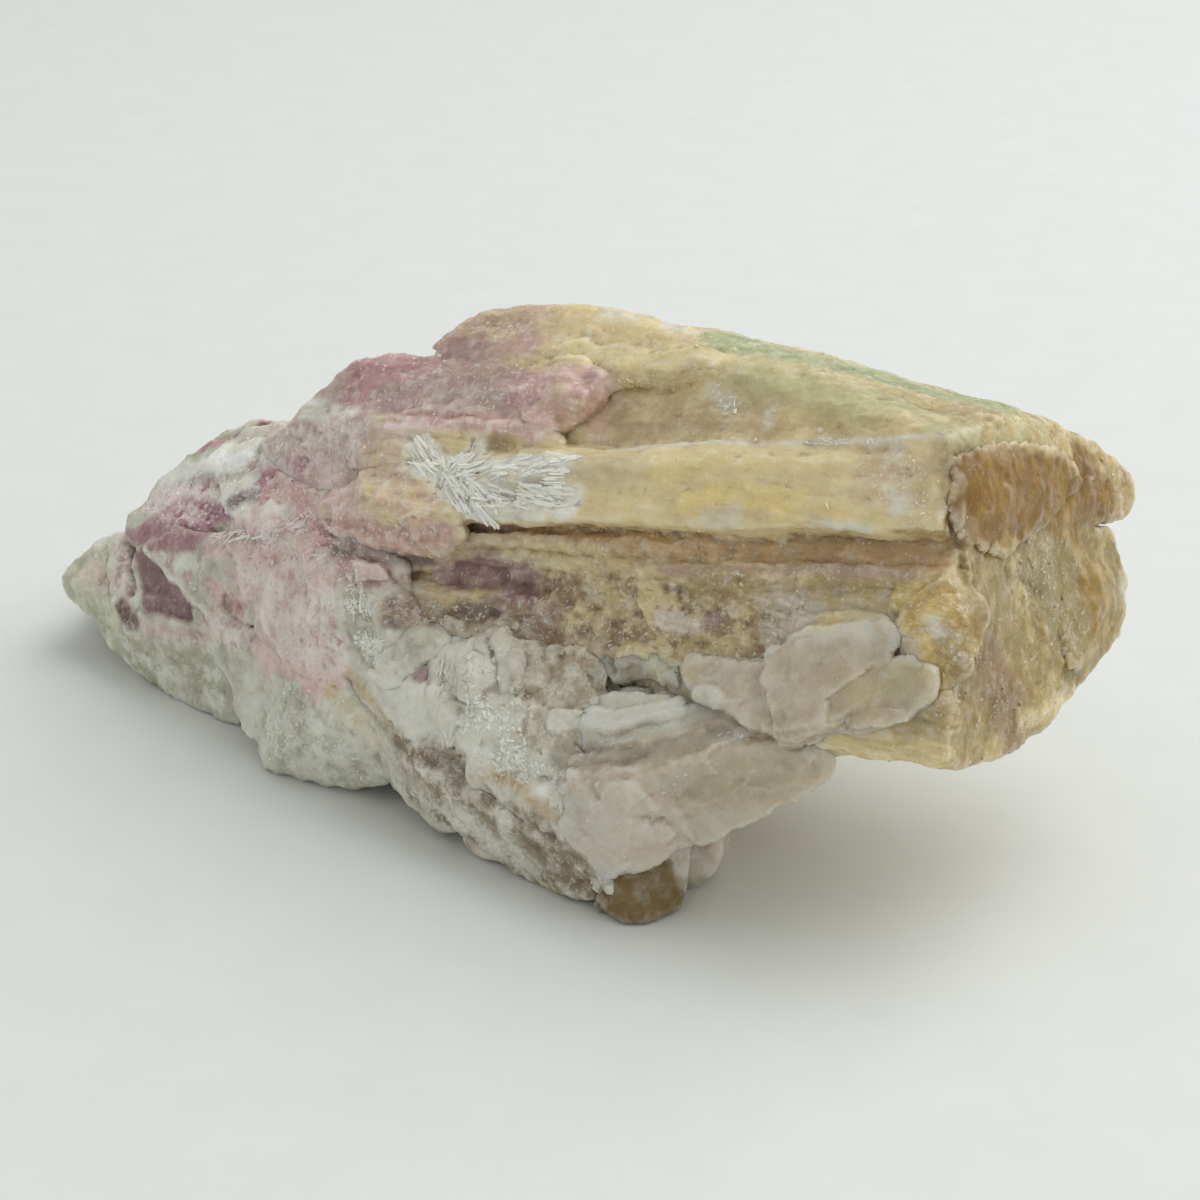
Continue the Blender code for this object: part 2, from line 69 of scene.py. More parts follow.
# Mineral colours, as sRGB.
COLOURS = {
    "straw": (0.91, 0.84, 0.63),
    "yellow_beige": (0.86, 0.78, 0.62),
    "olive": (0.82, 0.735, 0.545),
    "moss": (0.66, 0.70, 0.50),
    "pale_green": (0.74, 0.75, 0.58),
    "tan": (0.925, 0.855, 0.67),
    "ochre": (0.76, 0.67, 0.45),
    "gold": (0.94, 0.855, 0.585),
    "amber": (0.51, 0.365, 0.04),
    "honey": (0.62, 0.47, 0.05),
    "tan_brown": (0.68, 0.58, 0.45),
    "brown_mauve": (0.66, 0.54, 0.47),
    "plum": (0.44, 0.31, 0.34),
    "maroon": (0.45, 0.30, 0.27),
    "mauve": (0.66, 0.51, 0.54),
    "mauve_grey": (0.77, 0.67, 0.65),
    "lilac": (0.72, 0.65, 0.57),
    "pink": (0.82, 0.63, 0.65),
    "rose": (0.91, 0.77, 0.755),
    "pale_rose": (0.955, 0.905, 0.89),
    "magenta": (0.70, 0.44, 0.54),
    "salmon": (0.90, 0.78, 0.735),
    "peach": (0.84, 0.74, 0.62),
    "white": (0.92, 0.92, 0.88),
    "green_white": (0.90, 0.90, 0.85),
    "sage": (0.76, 0.76, 0.675),
    "milk": (0.88, 0.87, 0.81),
    "warm_milk": (0.86, 0.81, 0.74),
    "smoke": (0.72, 0.70, 0.62),
    "warm_smoke": (0.72, 0.67, 0.58),
    "grey_brown": (0.62, 0.57, 0.48),
    "umber": (0.53, 0.42, 0.20),
    "end_ochre": (0.59, 0.50, 0.275),
    "lobe_ochre": (0.78, 0.675, 0.41),
    "end_grey": (0.62, 0.55, 0.37),
    "end_mauve": (0.54, 0.42, 0.28),
    "end_brown": (0.60, 0.49, 0.30),
    "tip_green": (0.86, 0.86, 0.77),
    "rosy_beige": (0.79, 0.665, 0.62),
    "pale_straw": (0.89, 0.83, 0.66),
    "block_sage": (0.75, 0.75, 0.66),
    "dusk": (0.55, 0.42, 0.43),
    "prism_mauve": (0.66, 0.485, 0.515),
    "dull_rose": (0.74, 0.585, 0.585),
    "grey_umber": (0.50, 0.43, 0.385),
    "near_black": (0.30, 0.24, 0.23),
    "muted_salmon": (0.76, 0.61, 0.55),
    "hollow_plum": (0.66, 0.52, 0.515),
    "rosy_milk": (0.79, 0.735, 0.635),
    "wedge_grey": (0.59, 0.53, 0.41),
    "cool_white": (1.0, 0.98, 0.915),
    "snow": (0.98, 0.985, 0.97),
    "broken_tan": (0.64, 0.52, 0.38),
    "recess_brown": (0.80, 0.67, 0.49),
}


def linear(name):
    """A mineral colour as scene linear."""
    srgb = np.array(COLOURS[name])
    return np.where(srgb <= 0.04045, srgb / 12.92, ((srgb + 0.055) / 1.055) ** 2.4)


def blend(below, above, share):
    """One value or colour laid over another, by one share or a share for each point. A name is a mineral colour."""
    above = linear(above) if isinstance(above, str) else above
    if np.ndim(share) and np.ndim(above):
        share = share[:, None]
    return below * (1 - share) + above * share


# ---------------------------------------------------------------- noise

FACET_TILT = 0.8      # how much broken facets lean, hollow out and differ in height, as parts of their width
FACET_BOWL = 0.55
FACET_SPREAD = 0.7
FACET_MEAN = 0.35     # brings their mean height near 0


def lattice(i, j, k, seed):
    """A fixed value from 0 to 1 for each corner of a grid."""
    n = i * 73856093 ^ j * 19349663 ^ k * 83492791 ^ (seed * 40503 + 977)
    n = ((n ^ (n >> 15)) * 2246822519) & 0xFFFFFFFF
    n = ((n ^ (n >> 13)) * 3266489917) & 0xFFFFFFFF
    return ((n ^ (n >> 16)) & 0xFFFFFFFF) / 4294967295.0


def value_noise(p, seed):
    """Smooth noise from -1 to 1, one bump to a unit."""
    base = np.floor(p).astype(np.int64)
    part = p - base
    ease = part * part * (3 - 2 * part)
    total = np.zeros(len(p))
    for corner in itertools.product((0, 1), repeat=3):
        weight = np.ones(len(p))
        for axis, step in enumerate(corner):
            weight = weight * (ease[:, axis] if step else 1 - ease[:, axis])
        c = base + np.array(corner)
        total += weight * lattice(c[:, 0], c[:, 1], c[:, 2], seed)
    return total * 2 - 1


def layered(p, seed, octaves):
    """Smooth noise from -1 to 1 with finer and finer noise added to it."""
    total, height, reach = np.zeros(len(p)), 1.0, 0.0
    for step in range(octaves):
        total += value_noise(p * 2.03**step + 17.3 * step, seed + step) * height
        reach += height
        height *= 0.5
    return total / reach


def drift(p, size, seeds, octaves):
    """Three noises of one size, as a shift of each point."""
    return np.stack([layered(p / size, seed, octaves) for seed in seeds], 1)


def hackle(p, seed):
    """Broken facets: shallow hollows and flat planes, each leaning its own way, that meet in sharp crests."""
    base = np.floor(p).astype(np.int64)
    low = np.full(len(p), 9.0)
    for step in itertools.product((-1, 0, 1), repeat=3):
        c = base + np.array(step)
        own = np.stack([lattice(c[:, 0], c[:, 1], c[:, 2], seed + k) for k in range(3)], 1)
        away = p - (c + own)
        lean = (away * (own[:, (1, 2, 0)] - 0.5)).sum(1) * 2 * FACET_TILT
        low = np.minimum(low, FACET_BOWL * (away**2).sum(1) + lean + (own[:, 2] - 0.5) * FACET_SPREAD)
    return low + FACET_MEAN


def smooth(low, high, x):
    """0 below low and 1 above high, with an S-shaped rise between them."""
    t = np.clip((x - low) / (high - low), 0, 1)
    return t * t * (3 - 2 * t)


def stepped(x, steps, tread):
    """Values gathered into steps, each one level up to its tread and steep after it."""
    x = x * steps
    low = np.floor(x)
    return (low + smooth(tread, 1.0, x - low)) / steps


def in_crystal(p, along, across):
    """Positions measured along and across the crystal, so that noise can be drawn out along it."""
    return np.stack([p @ ALONG / along, p @ BACKWARD / across, p @ OUTWARD / across], 1)


# ---------------------------------------------------------------- layout

def at(across, up, back=0.0):
    """A point on or behind the layout plane, on the sight line through one place of it."""
    nearness = 1 + back / SIGHT_DISTANCE
    return PLANE_CENTRE + SIGHT_RIGHT * across * nearness + SIGHT_UP * up * nearness + SIGHT_AWAY * back


def cad_tree(nodes):
    """The faces of some CAD solids, for finding points on them."""
    verts, faces = [], []
    for node in nodes:
        start = len(verts)
        verts += [v.co / MM for v in node.data.vertices]
        faces += [[start + i for i in f.vertices] for f in node.data.polygons]
    return BVHTree.FromPolygons(verts, faces)


def on_stone(across, up):
    """The point of the CAD surface that lies behind one place of the layout plane."""
    eye = PLANE_CENTRE - SIGHT_AWAY * SIGHT_DISTANCE
    spot = at(across, up)
    hit = STONE.ray_cast(Vector(eye), Vector(spot - eye).normalized())[0]
    if hit is None:
        hit = STONE.find_nearest(Vector(at(across, up, 8.0)))[0]
    return np.array(hit)


def to_path(points, path):
    """Distance from each point to a line through the path's corners."""
    best = np.full(len(points), 1e9)
    if len(path) == 1:
        return np.sqrt(((points - path[0]) ** 2).sum(1))
    for a, b in zip(path[:-1], path[1:]):
        run = b - a
        t = np.clip(((points - a) @ run) / max(run @ run, 1e-6), 0, 1)
        best = np.minimum(best, ((points - a - t[:, None] * run) ** 2).sum(1))
    return np.sqrt(best)


def to_plate(points, corners):
    """Over the layout plane: how far each point lies outside a convex outline, less than 0 inside it, and where it
    lies from the outline's middle."""
    away = points - PLANE_CENTRE
    nearness = 1 + away @ SIGHT_AWAY / SIGHT_DISTANCE
    flat = np.stack([away @ SIGHT_RIGHT, away @ SIGHT_UP], 1) / nearness[:, None]
    ring = np.array(corners + corners[:1])
    turn = np.sign((ring[:-1, 0] * ring[1:, 1] - ring[1:, 0] * ring[:-1, 1]).sum())
    out = np.full(len(points), -1e9)
    for a, b in zip(ring[:-1], ring[1:]):
        run = (b - a) / np.linalg.norm(b - a)
        out = np.maximum(out, (flat - a) @ np.array((run[1], -run[0])) * turn)
    return out, flat - np.array(corners).mean(0)


# ---------------------------------------------------------------- minerals

def places(points):
    """Places on the layout plane in mm, written as across,up and parted by spaces."""
    return [tuple(map(float, point.split(","))) for point in points.split()]


def zone(colour, width, blur, power, points, second=None, share=0.35, **look):
    """One patch of a mineral: its colour, its half width and the softness of its border in mm, its strength, its
    places, its second colour and that one's share, and then what its surface is like there.
    run: direction over the layout plane, height and width in mm of splinters. rise: how far it stands out of, or is
    sunk in, what lies round it, in mm. torn: how far its border wanders. only: the one solid that it lies on.
    A zone of no power is a step and no colour."""
    return colour, width, blur, power, places(points), second, share, look


def plate(only, colour, power, rise, tilt, corners, second=None, share=0.35, blur=0.3, torn=0.6, **look):
    """A zone with a convex outline, that rises by its tilt, across and up the layout plane."""
    return zone(colour, 1, blur, power, corners, second, share, only=only, rise=rise, tilt=tilt, torn=torn, **look)


ZONES = [
    # upper layer of the crystal
    zone("yellow_beige", 5.4, 0.8, 1, "-5,26.5 6,25.5 17,23.5", "straw", 0.5, stria=0.5, fleck=0.6),
    zone("rosy_beige", 4.4, 2.6, 1, "-18.5,26 -12,25.8 -8,26", "yellow_beige", fleck=0.7),
    zone("dull_rose", 1.8, 1.6, 0.85, "-19,24.2 -14.5,24.4 -11,24"),
    zone("pale_straw", 1.5, 0.4, 1, "-3,24.4 5,23.6 11.4,23.8", "straw", 0.4, rise=0.3, fill=0),
    zone("ochre", 1, 1.2, 0.5, "-9.5,23.5 -4.5,23.6"),
    zone("white", 0.7, 0.8, 0.8, "0.5,28.7 3.2,28.2", fleck=1),
    zone("white", 0.6, 0.8, 0.8, "6.5,27.2 9.5,26.6", fleck=1),
    zone("green_white", 0.6, 0.8, 0.7, "12,26.2 15,25.8", fleck=1),
    zone("moss", 2.3, 1, 1, "12.6,26 20,24.2 30,21.4 41,18.6", "pale_green", 0.45),
    zone("moss", 2.8, 1, 1, "16,27 24,25 34,22.2 41,20", "pale_green", 0.4),
    # smooth olive face under it
    zone("olive", 3.2, 0.8, 1, "2,18.8 16,19.2 33,17.2", "tan", stria=0.5, hackle=0.08, heave=0.2, fine=0.25,
         fleck=0.15),
    zone("brown_mauve", 2.6, 2.2, 0.35, "1.5,18.6 8,18.6 15,18.2"),
    # thin ochre line along the lower edge of the upper slab: painted shadow
    zone("ochre", 0.6, 0.8, 0.6, "1.4,21.8 7,21.3 12,22.3"),
    zone("salmon", 1.5, 1.6, 0.6, "0.4,19.8 -0.2,17"),
    # brown strip along the blunt right end of the pink log: painted shadow
    zone("tan_brown", 1.1, 1.2, 0.6, "1.4,20.4 1.6,18"),
    zone("tan_brown", 0.8, 0.8, 0.45, "3,16.6 12,16.9"),
    zone("pale_green", 2.2, 2.2, 0.6, "15,22.4 26,20 38,16.6", "moss", 0.5),
    zone("milk", 0.8, 0.5, 0.6, "11.6,20.6 13.2,19.6", fleck=1),
    zone("milk", 0.6, 0.8, 0.5, "17.2,18.8 17,17.8", fleck=1),
    # tan prism face
    zone("tan", 4.2, 0.8, 1, "-1,11.6 15,11.4 33,11.2", "straw", 0.4, stria=0.55, hackle=0.1, heave=0.25, fine=0.3,
         fleck=0.3),
    zone("warm_smoke", 1.6, 1.4, 0.5, "-2.5,13.4 2.5,13.2"),
    zone("straw", 1.6, 0.6, 1, "8.5,9.4 13,9.8 18,9.2", "yellow_beige", 0.3),
    zone("gold", 0.8, 0.4, 0.8, "5.5,12.2 10,12.7", "straw", 0.4, torn=1.8, rise=0.08),
    zone("gold", 1.1, 0.4, 0.9, "9,9.8 14,10.4 19,9.6", "straw", 0.3, torn=1.6, rise=0.1),
    zone("gold", 0.7, 0.5, 0.6, "22,8.6 28,8.2", torn=1.6),
    zone("milk", 1, 0.5, 0.6, "11.5,8.2 13.4,8.4"),
    zone("peach", 2.8, 1.8, 0.75, "28.5,12.6 33,10", "white", fleck=0.8, fine=0.8),
    zone("ochre", 1, 1.2, 0.6, "35,11.6 35.4,9.4"),
    zone("white", 0.3, 0.3, 0.8, "1,15 9,15.2 19,15.6 33,16.2", fleck=1, melt=0),
    zone("white", 0.6, 0.5, 0.8, "22.5,7.2 26.6,7.3"),
    zone("white", 0.8, 0.6, 0.8, "29.8,9.2 31.4,9"),
    # recess and striated band under the overhang
    zone("recess_brown", 1.7, 0.8, 1, "-13.5,7.4 6,5.6 22,4.8 34,4.2", "tan_brown", 0.3, stria=1.2, heave=0.2,
         hackle=0.05, fill=0.1),
    # dark umber line just under the overhanging edge: painted shadow
    zone("umber", 0.45, 0.5, 0.45, "-13.6,8.2 0,7 16,6.2 34,5.8"),
    zone("brown_mauve", 0.8, 0.6, 0.6, "-14,7.6 -9,7.3"),
    zone("peach", 0.55, 0.4, 0.9, "-13.5,6.3 -4,6.2", stria=1),
    zone("tan", 1.2, 0.8, 0.9, "-7,5.2 0,4.4", "olive", 0.5),
    zone("mauve_grey", 0.6, 0.5, 0.9, "22,2.9 32.5,2"),
    zone("mauve", 0.4, 0.4, 0.5, "6,3 22,2.9"),
    zone("ochre", 1.6, 0.8, 1, "22,0.6 30,0", "tan_brown", 0.4, hackle=0.4),
    # rough broken tan zone
    zone("broken_tan", 4.2, 0.8, 1, "-6,-1.2 8,-2.6 18,-2.8", "tan", hackle=0.6, heave=0.9, fine=0.9, fleck=0.8,
         ledge=0.6, run=(1, -0.12, 0.3, 1.1)),
    zone("tan_brown", 1.2, 1, 0.7, "-3,-3.8 3,-4.6"),
    zone("ochre", 1.8, 0.4, 0.8, "10,0.8 18,-0.4", "tan_brown", 0.5, rise=0.25, torn=1.5, hackle=0.5),
    zone("straw", 1.2, 0.8, 0.6, "6.2,-4.4 14.6,-4.6", "tan", 0.4),
    zone("straw", 1.5, 0.4, 0.9, "4.5,0.6 6.5,-1.4", "tan", 0.4, rise=0.25, torn=1.5, hackle=0.9),
    zone("straw", 1.3, 0.4, 0.9, "3,-5.4 6.5,-5.2", "milk", 0.4, rise=0.25, torn=1.5, hackle=0.9),
    zone("straw", 1, 0.8, 0.6, "-1,1.4 2.5,-0.4", "milk", 0.4),
    zone("rose", 0.9, 0.5, 0.9, "6.4,-2 9.6,-2.8", "white", 0.6, rise=0.35),
    zone("mauve", 0.6, 0.6, 0.7, "11,-2.2 12,-1.8"),
    zone("tan_brown", 1.8, 0.8, 1, "-20.5,-1 -13,-1.8 -8,-1.4", "grey_umber", 0.5, hackle=0.6, fleck=1, fill=0.9),
    zone("hollow_plum", 2.5, 0.9, 1, "-14,2.6 -10,2.9 -7.6,1.8", "mauve_grey", 0.3, hackle=0.4, fill=0.8),
    zone("plum", 0.9, 0.7, 0.45, "-15.6,4.6 -10.4,4.9"),
    zone("maroon", 1.1, 0.9, 0.75, "-8.4,2.6 -7,1.4"),
    zone("mauve_grey", 1.2, 1.4, 0.5, "-8,-2.6 -4.6,-1.2"),
    # pink log and the ledges under it
    zone("mauve_grey", 3, 0.8, 1, "-22,21.2 -8,20.4", "dull_rose", 0.45, stria=0.7, hackle=0.25, fleck=0.9),
    zone("lilac", 1.3, 0.8, 0.6, "-16.5,19.6 -11,19.6", "white", 0.4),
    zone("dull_rose", 2, 0.8, 1, "-26.5,22.4 -24,23.4 -19.4,23.6", "pink", 0.45, hackle=0.4, fleck=0.8),
    zone("brown_mauve", 1, 1, 0.6, "-15.6,22.6 -9.4,22"),
    zone("salmon", 2.4, 0.9, 1, "-6.4,21 -1.6,21.4", "dull_rose", 0.4, hackle=0.8, fine=1, erode=0.9, melt=0.5,
         fill=0.9),
    zone("muted_salmon", 1.3, 1, 0.8, "-5.6,18.6 -1.4,18 0.4,20.2", melt=0.6, fill=0.95),
    zone("peach", 0.9, 1, 0.8, "-4.2,21"),
    zone("salmon", 1.5, 0.4, 1, "-20,17.9 -12,17.7 -6,17.4", "dull_rose", 0.4, rise=0.25, hackle=0.4, ledge=0.5,
         fleck=0.8),
    zone("tan", 0.6, 0.4, 0.7, "-20,16.4 -11,16.4"),
    zone("pale_rose", 1, 0.9, 0.7, "-21.4,16.6 -18.2,16.4"),
    zone("ochre", 1, 0.5, 0.9, "-10.5,15.8 -3.4,15.6", "tan_brown", 0.5, hackle=0.4),
    zone("peach", 1.1, 0.8, 1, "-25.2,14.4 -21,15.2", "rose", 0.3, hackle=0.4),
    zone("pale_rose", 2.4, 0.8, 1, "-31,15.2 -25,17.4", "mauve", 0.45, hackle=0.5, fleck=1),
    zone("white", 1.4, 0.8, 0.85, "-29.4,19 -26,18.2", fleck=1),
    zone("tan", 2.5, 0.8, 1, "-22.5,12.2 -17.5,9.6", "salmon", 0.5, hackle=1, fine=1.2, erode=1.3, fleck=0.9, melt=0.7,
         fill=1),
    zone("salmon", 1.5, 0.8, 0.7, "-26.6,10.4 -23.6,8.4", "tan_brown", 0.4, hackle=0.9, fine=1.2, erode=1.3, melt=0.8,
         fill=1),
    zone("muted_salmon", 1.6, 0.8, 1, "-27,7.4 -22,6.4 -15.4,6.2", "salmon", 0.4, hackle=0.9, fine=1.2, erode=1.3,
         stria=0.6, fleck=0.9, melt=0.85, fill=1),
    zone("rose", 1.8, 0.8, 1, "-30,12 -28.6,8 -26.4,6", "pink", 0.4, hackle=0.7, fine=0.9, erode=1.6, fleck=0.9),
    zone("grey_umber", 1.2, 0.8, 1, "-24.6,4.9 -18.6,4.5", "brown_mauve", 0.4, stria=0.8, hackle=0.1, melt=0.6,
         fill=0.9),
    # near-black spot deep in the crevice: painted shade
    zone("near_black", 0.5, 0.5, 0.85, "-26.2,5.2 -25.4,4.2", fill=0),
    zone("rose", 1.6, 1.3, 0.85, "-25.6,3 -21.8,2.8", "pink", 0.55, hackle=0.6, fleck=0.9),
    # dark mauve along the recess: the mineral's mauve, darkened further as painted shade
    zone("dusk", 1, 0.7, 0.95, "-25.8,4.8 -21.5,4.5 -17,4.3", "grey_umber", 0.5),
    zone("dusk", 0.8, 0.6, 0, "-25.4,5.2 -20.6,4 -17.8,1.4", only="quartz_matrix", rise=0.4),
    # feathery white patch
    zone("cool_white", 1.9, 0.5, 1, "-18,14.6 -15,12 -12,9.8", fleck=1, run=(0.62, -0.78, 0.4, 0.8)),
    zone("cool_white", 1.7, 0.5, 1, "-15,12.4 -12,14.6", fleck=1, run=(0.6, 0.8, 0.4, 0.8)),
    zone("cool_white", 1.5, 0.5, 1, "-12,13.4 -4,13.4", "milk", 0.4, run=(1, -0.1, 0.35, 0.8)),
    zone("cool_white", 1.8, 0.5, 1, "-11,10.2 -3,10.2", "white", 0.4, run=(1, -0.15, 0.4, 0.8)),
    zone("smoke", 0.5, 0.4, 0.6, "-9.5,12 -5,11.9"),
    # left tip and mauve prism
    zone("tip_green", 4.6, 0.8, 1, "-53,2 -49,-4", "sage", 0.4, rise=-0.6, hackle=1.2, heave=0.5, fleck=0.6, melt=0,
         fill=0, erode=0),
    zone("salmon", 1.1, 1.3, 0.55, "-50.8,3.4 -49.2,1.4"),
    zone("pale_rose", 1.5, 0.9, 0.8, "-47.4,5 -47,0.4", "mauve", 0.45),
    zone("green_white", 2.4, 0.8, 1, "-43,4.6 -38,3.2 -34.4,1.4", "mauve_grey", 0.4, hackle=0.3, fleck=0.7),
    zone("sage", 1.7, 0.4, 0.7, "-38.4,3.2 -34.8,1.2", "green_white", 0.4, rise=0.25),
    zone("pink", 1.2, 0.8, 0.85, "-38.6,1 -36,-0.6", "rose", 0.5),
    zone("dull_rose", 1.6, 1, 0.75, "-38.4,-2.4 -35,-3.8 -32.6,-5.6", "pale_rose", 0.5),
    plate("quartz_matrix", "prism_mauve", 1, 0.15, (0, 0.03), "-47.9,7 -44,8.4 -38.2,8 -38.5,5.2 -45,4.6 -47.4,5.5",
          "mauve_grey", 0.3, blur=0.4, torn=0.9, stria=0.6, hackle=0.15, heave=0.2, fleck=0.3),
    plate("quartz_matrix", "dusk", 1, -0.2, (0, 0.04), "-46.7,5 -45.1,5 -40.4,0.2 -40.6,-1.9 -45.7,-1.3", "mauve", 0.3,
          blur=0.4, hackle=0.1, heave=0.2, fine=0.5, fleck=0.3),
    zone("maroon", 1.2, 0.5, 1, "-47.8,-1.4 -46.8,-2.3"),
    zone("white", 0.4, 0.3, 1, "-45.4,5 -42,1.8 -38.6,-1.6", rise=0.25),
    zone("block_sage", 5, 0.8, 1, "-46,-6.6 -38,-7.4", "green_white", 0.4, hackle=0.8, fleck=0.5),
    zone("dull_rose", 0.9, 0.9, 0.65, "-44.8,-2.6 -38.4,-3.6", "salmon", 0.4),
    # top shoulder: green-white patch over a magenta ridge
    zone("pink", 0.9, 0.5, 1, "-39.4,15.2 -36,17 -32.8,17.7", "maroon"),
    zone("pink", 2.6, 0.9, 1, "-42,9.4 -38,10.2 -34,11.8 -28,13.6", "dull_rose", 0.5, hackle=0.8, fine=1, fleck=1),
    zone("pale_rose", 3, 1.3, 1, "-33,13.4 -28,14.6 -25,16.6", "mauve_grey", 0.45, hackle=0.7, fine=1, fleck=1),
    zone("pale_rose", 1.6, 1.2, 1, "-45,9.8 -39.4,11 -36.4,11.6", "magenta", 0.25, hackle=0.9, fine=1, fleck=1),
    zone("magenta", 1.5, 0.9, 1, "-42,8.4 -38.6,8.8 -35.8,8.8", "pale_rose", hackle=0.9, fine=1,
         run=(0.95, 0.3, 0.25, 1.1)),
    zone("mauve", 1.7, 0.8, 0.9, "-37.2,9.8 -33,9.4", "pale_rose", 0.45, hackle=0.9, fine=1),
    zone("magenta", 1, 0.7, 0.9, "-39.2,8.5 -37.4,9.2 -35.4,10.6", "plum", 0.4),
    zone("magenta", 1.3, 0.7, 0.85, "-34.8,11.2 -31,12.8 -27.6,13.9", "pale_rose", 0.4, hackle=0.9,
         run=(0.95, 0.3, 0.25, 1.1)),
    zone("snow", 2.2, 0.4, 1, "-43.5,12.8 -38,14.1 -35,14.9", "cool_white", 0.5, rise=0.25, hackle=0.4, fleck=1),
    zone("snow", 1.6, 0.8, 0.95, "-42.5,12.6 -38,13.6 -35.2,14.2", fleck=1, hackle=0.4),
    zone("plum", 0.5, 0.6, 0.6, "-40.6,11.9 -36.5,12.3 -33.6,12.9"),
    zone("plum", 0.9, 0.6, 0.85, "-36.4,9.8 -34.6,10.4 -32.8,9.6"),
    zone("near_black", 0.35, 0.4, 0.8, "-33.8,9.9 -33.2,9.5"),
    zone("pink", 1.9, 0.8, 1, "-32.6,10.6 -28.6,11.2 -25.8,10.4", "salmon", 0.45, hackle=0.6, fleck=0.9),
    zone("salmon", 1.6, 0.9, 0.8, "-27,12.2 -25.2,9.6", "pale_rose", 0.4, hackle=0.4),
    # rose granular zone
    zone("rose", 5.8, 0.8, 1, "-33.5,4 -30,-1.6 -28.4,-6.6", "pale_rose", 0.55, hackle=0.8, fine=1, fleck=1,
         run=(0.5, -0.85, 0.2, 1.2)),
    zone("pink", 0.5, 0.7, 0.55, "-37,2.6 -33.4,0.4 -31.8,-3.6"),
    zone("pink", 0.5, 0.7, 0.55, "-34.4,5.2 -30.6,2 -28.2,-2.4"),
    zone("dull_rose", 0.5, 0.7, 0.55, "-35.6,-0.8 -31.6,0.6 -27.4,3.6"),
    zone("pink", 0.45, 0.6, 0.55, "-36.4,-1.8 -32.6,-4.6 -29.6,-8.6"),
    zone("pale_rose", 0.7, 0.6, 0.9, "-35,3.4 -32.4,-1 -30.2,-5.8", fleck=1),
    zone("pale_rose", 0.6, 0.6, 0.9, "-31,5.4 -29.2,0.6 -26.8,-3.4", fleck=1),
    zone("pale_rose", 1.3, 0.8, 1, "-38.4,6 -34,6.2 -29.6,7.6", "dull_rose", 0.45, hackle=0.9, fine=1, fleck=1,
         run=(0.95, 0.3, 0.35, 0.9)),
    zone("rose", 1, 0.8, 0.8, "-38.8,4.9 -33,4.6 -28.6,5.2", run=(0.97, 0.1, 0.3, 0.8)),
    zone("dull_rose", 2, 1.6, 0.6, "-31,0.6 -28.6,-2.2 -29,-5.6", "pale_rose", 0.5),
    zone("magenta", 1.2, 1, 0.55, "-27,-0.4 -26.2,-4.4", "white", 0.4),
    zone("mauve", 1.1, 1.2, 0.35, "-34.6,-3.4 -31.4,-6.4", "rose", 0.4),
    zone("peach", 2, 1.4, 0.8, "-33,-6.4 -29,-8 -26,-8.8", "rose", 0.6),
    zone("white", 0.3, 0.3, 0.9, "-27,0.2 -27.1,-2.2"),
    # pale lump at lower left
    zone("green_white", 5.4, 0.8, 1, "-32,-12 -28,-15.5 -24,-14", "sage", hackle=0.9, fleck=0.8),
    zone("white", 2.2, 1.2, 0.8, "-35,-11.5 -34,-15.5"),
    zone("straw", 1.1, 1, 0.4, "-27,-8.6 -24,-11.6 -21.6,-13.8"),
    zone("umber", 0.5, 0.5, 0.75, "-24.9,-7.6 -23.4,-10 -21.2,-12.8", fill=0.1),
    # white quartz front
    zone("green_white", 2.2, 0.8, 1, "-24.4,0 -22.8,-5", "smoke", 0.5, hackle=0.8, fleck=1, run=(0.25, -1, 0.3, 1.3)),
    zone("brown_mauve", 1.6, 0.9, 0.7, "-19.8,1 -18,-2.6", "mauve_grey", 0.5, hackle=0.6),
    zone("white", 1.6, 0.8, 1, "-22,-5.6 -17,-6.4", "smoke", 0.3, run=(0.85, 0.4, 0.3, 0.9)),
    zone("white", 3.4, 0.4, 1, "-21,-9.6 -17.5,-11", rise=0.3, hackle=0.3, heave=0.4, fleck=0.6),
    zone("mauve_grey", 1.4, 0.7, 0.85, "-17.4,-8 -15.8,-7.2", "mauve", 0.5),
    zone("milk", 1.9, 0.4, 0.4, "-14.5,-4 -13,-8", rise=0.45, fleck=0.8),
    zone("smoke", 1.9, 0.4, 0.5, "-9,-3.5 -7.2,-7", "tan_brown", 0.4, rise=0.5),
    zone("milk", 1.4, 0.8, 1, "-15.2,-6 -15,-13.5", "white", 0.5, hackle=1, run=(0.15, 1, 0.35, 0.9)),
    zone("white", 2.8, 0.8, 1, "-12.5,-7 -9.5,-9.5", "milk", 0.4, hackle=0.9, fleck=0.8),
    zone("smoke", 1.4, 0.4, 0.8, "-12.6,-4 -9.2,-5.4", "milk", 0.4, rise=0.3),
    zone("tan_brown", 1, 0.8, 0.6, "-8.8,-4.4 -5.5,-3.8"),
    zone("warm_smoke", 2.8, 0.5, 1, "-6.5,-7.4 -1,-8.5", "milk", rise=-0.4, hackle=0.3),
    zone("tan_brown", 0.8, 0.6, 0.8, "-3.6,-6.2 6,-6.6"),
    zone("white", 3.2, 0.8, 1, "-11.5,-11.6 -10,-15.5", "milk", 0.5, hackle=1, fine=1, fleck=1),
    zone("milk", 2.2, 0.8, 1, "-7,-12.4 1.5,-13.4", "warm_smoke", hackle=0.3, run=(1, 0.25, 0.25, 1.2)),
    zone("white", 0.9, 0.8, 0.8, "-8.5,-17 2,-17.2", "smoke", 0.4, fleck=1, hackle=0.9),
    zone("milk", 3.6, 0.8, 1, "-6,-20.5 0,-24.5", "white", 0.45, hackle=0.5, run=(0.9, 0.4, 0.25, 1.3)),
    zone("peach", 0.7, 0.6, 0.8, "-24.4,-7.2 -20.8,-12 -15,-15.6 -8.2,-18.2 -5,-21.4 -1,-25.4", "ochre", 0.5),
    zone("wedge_grey", 4.6, 0.8, 1, "-18,-17.5 -9,-24 -3,-28.5", "milk", hackle=0.8, fine=1,
         run=(0.84, -0.54, 0.45, 1.2)),
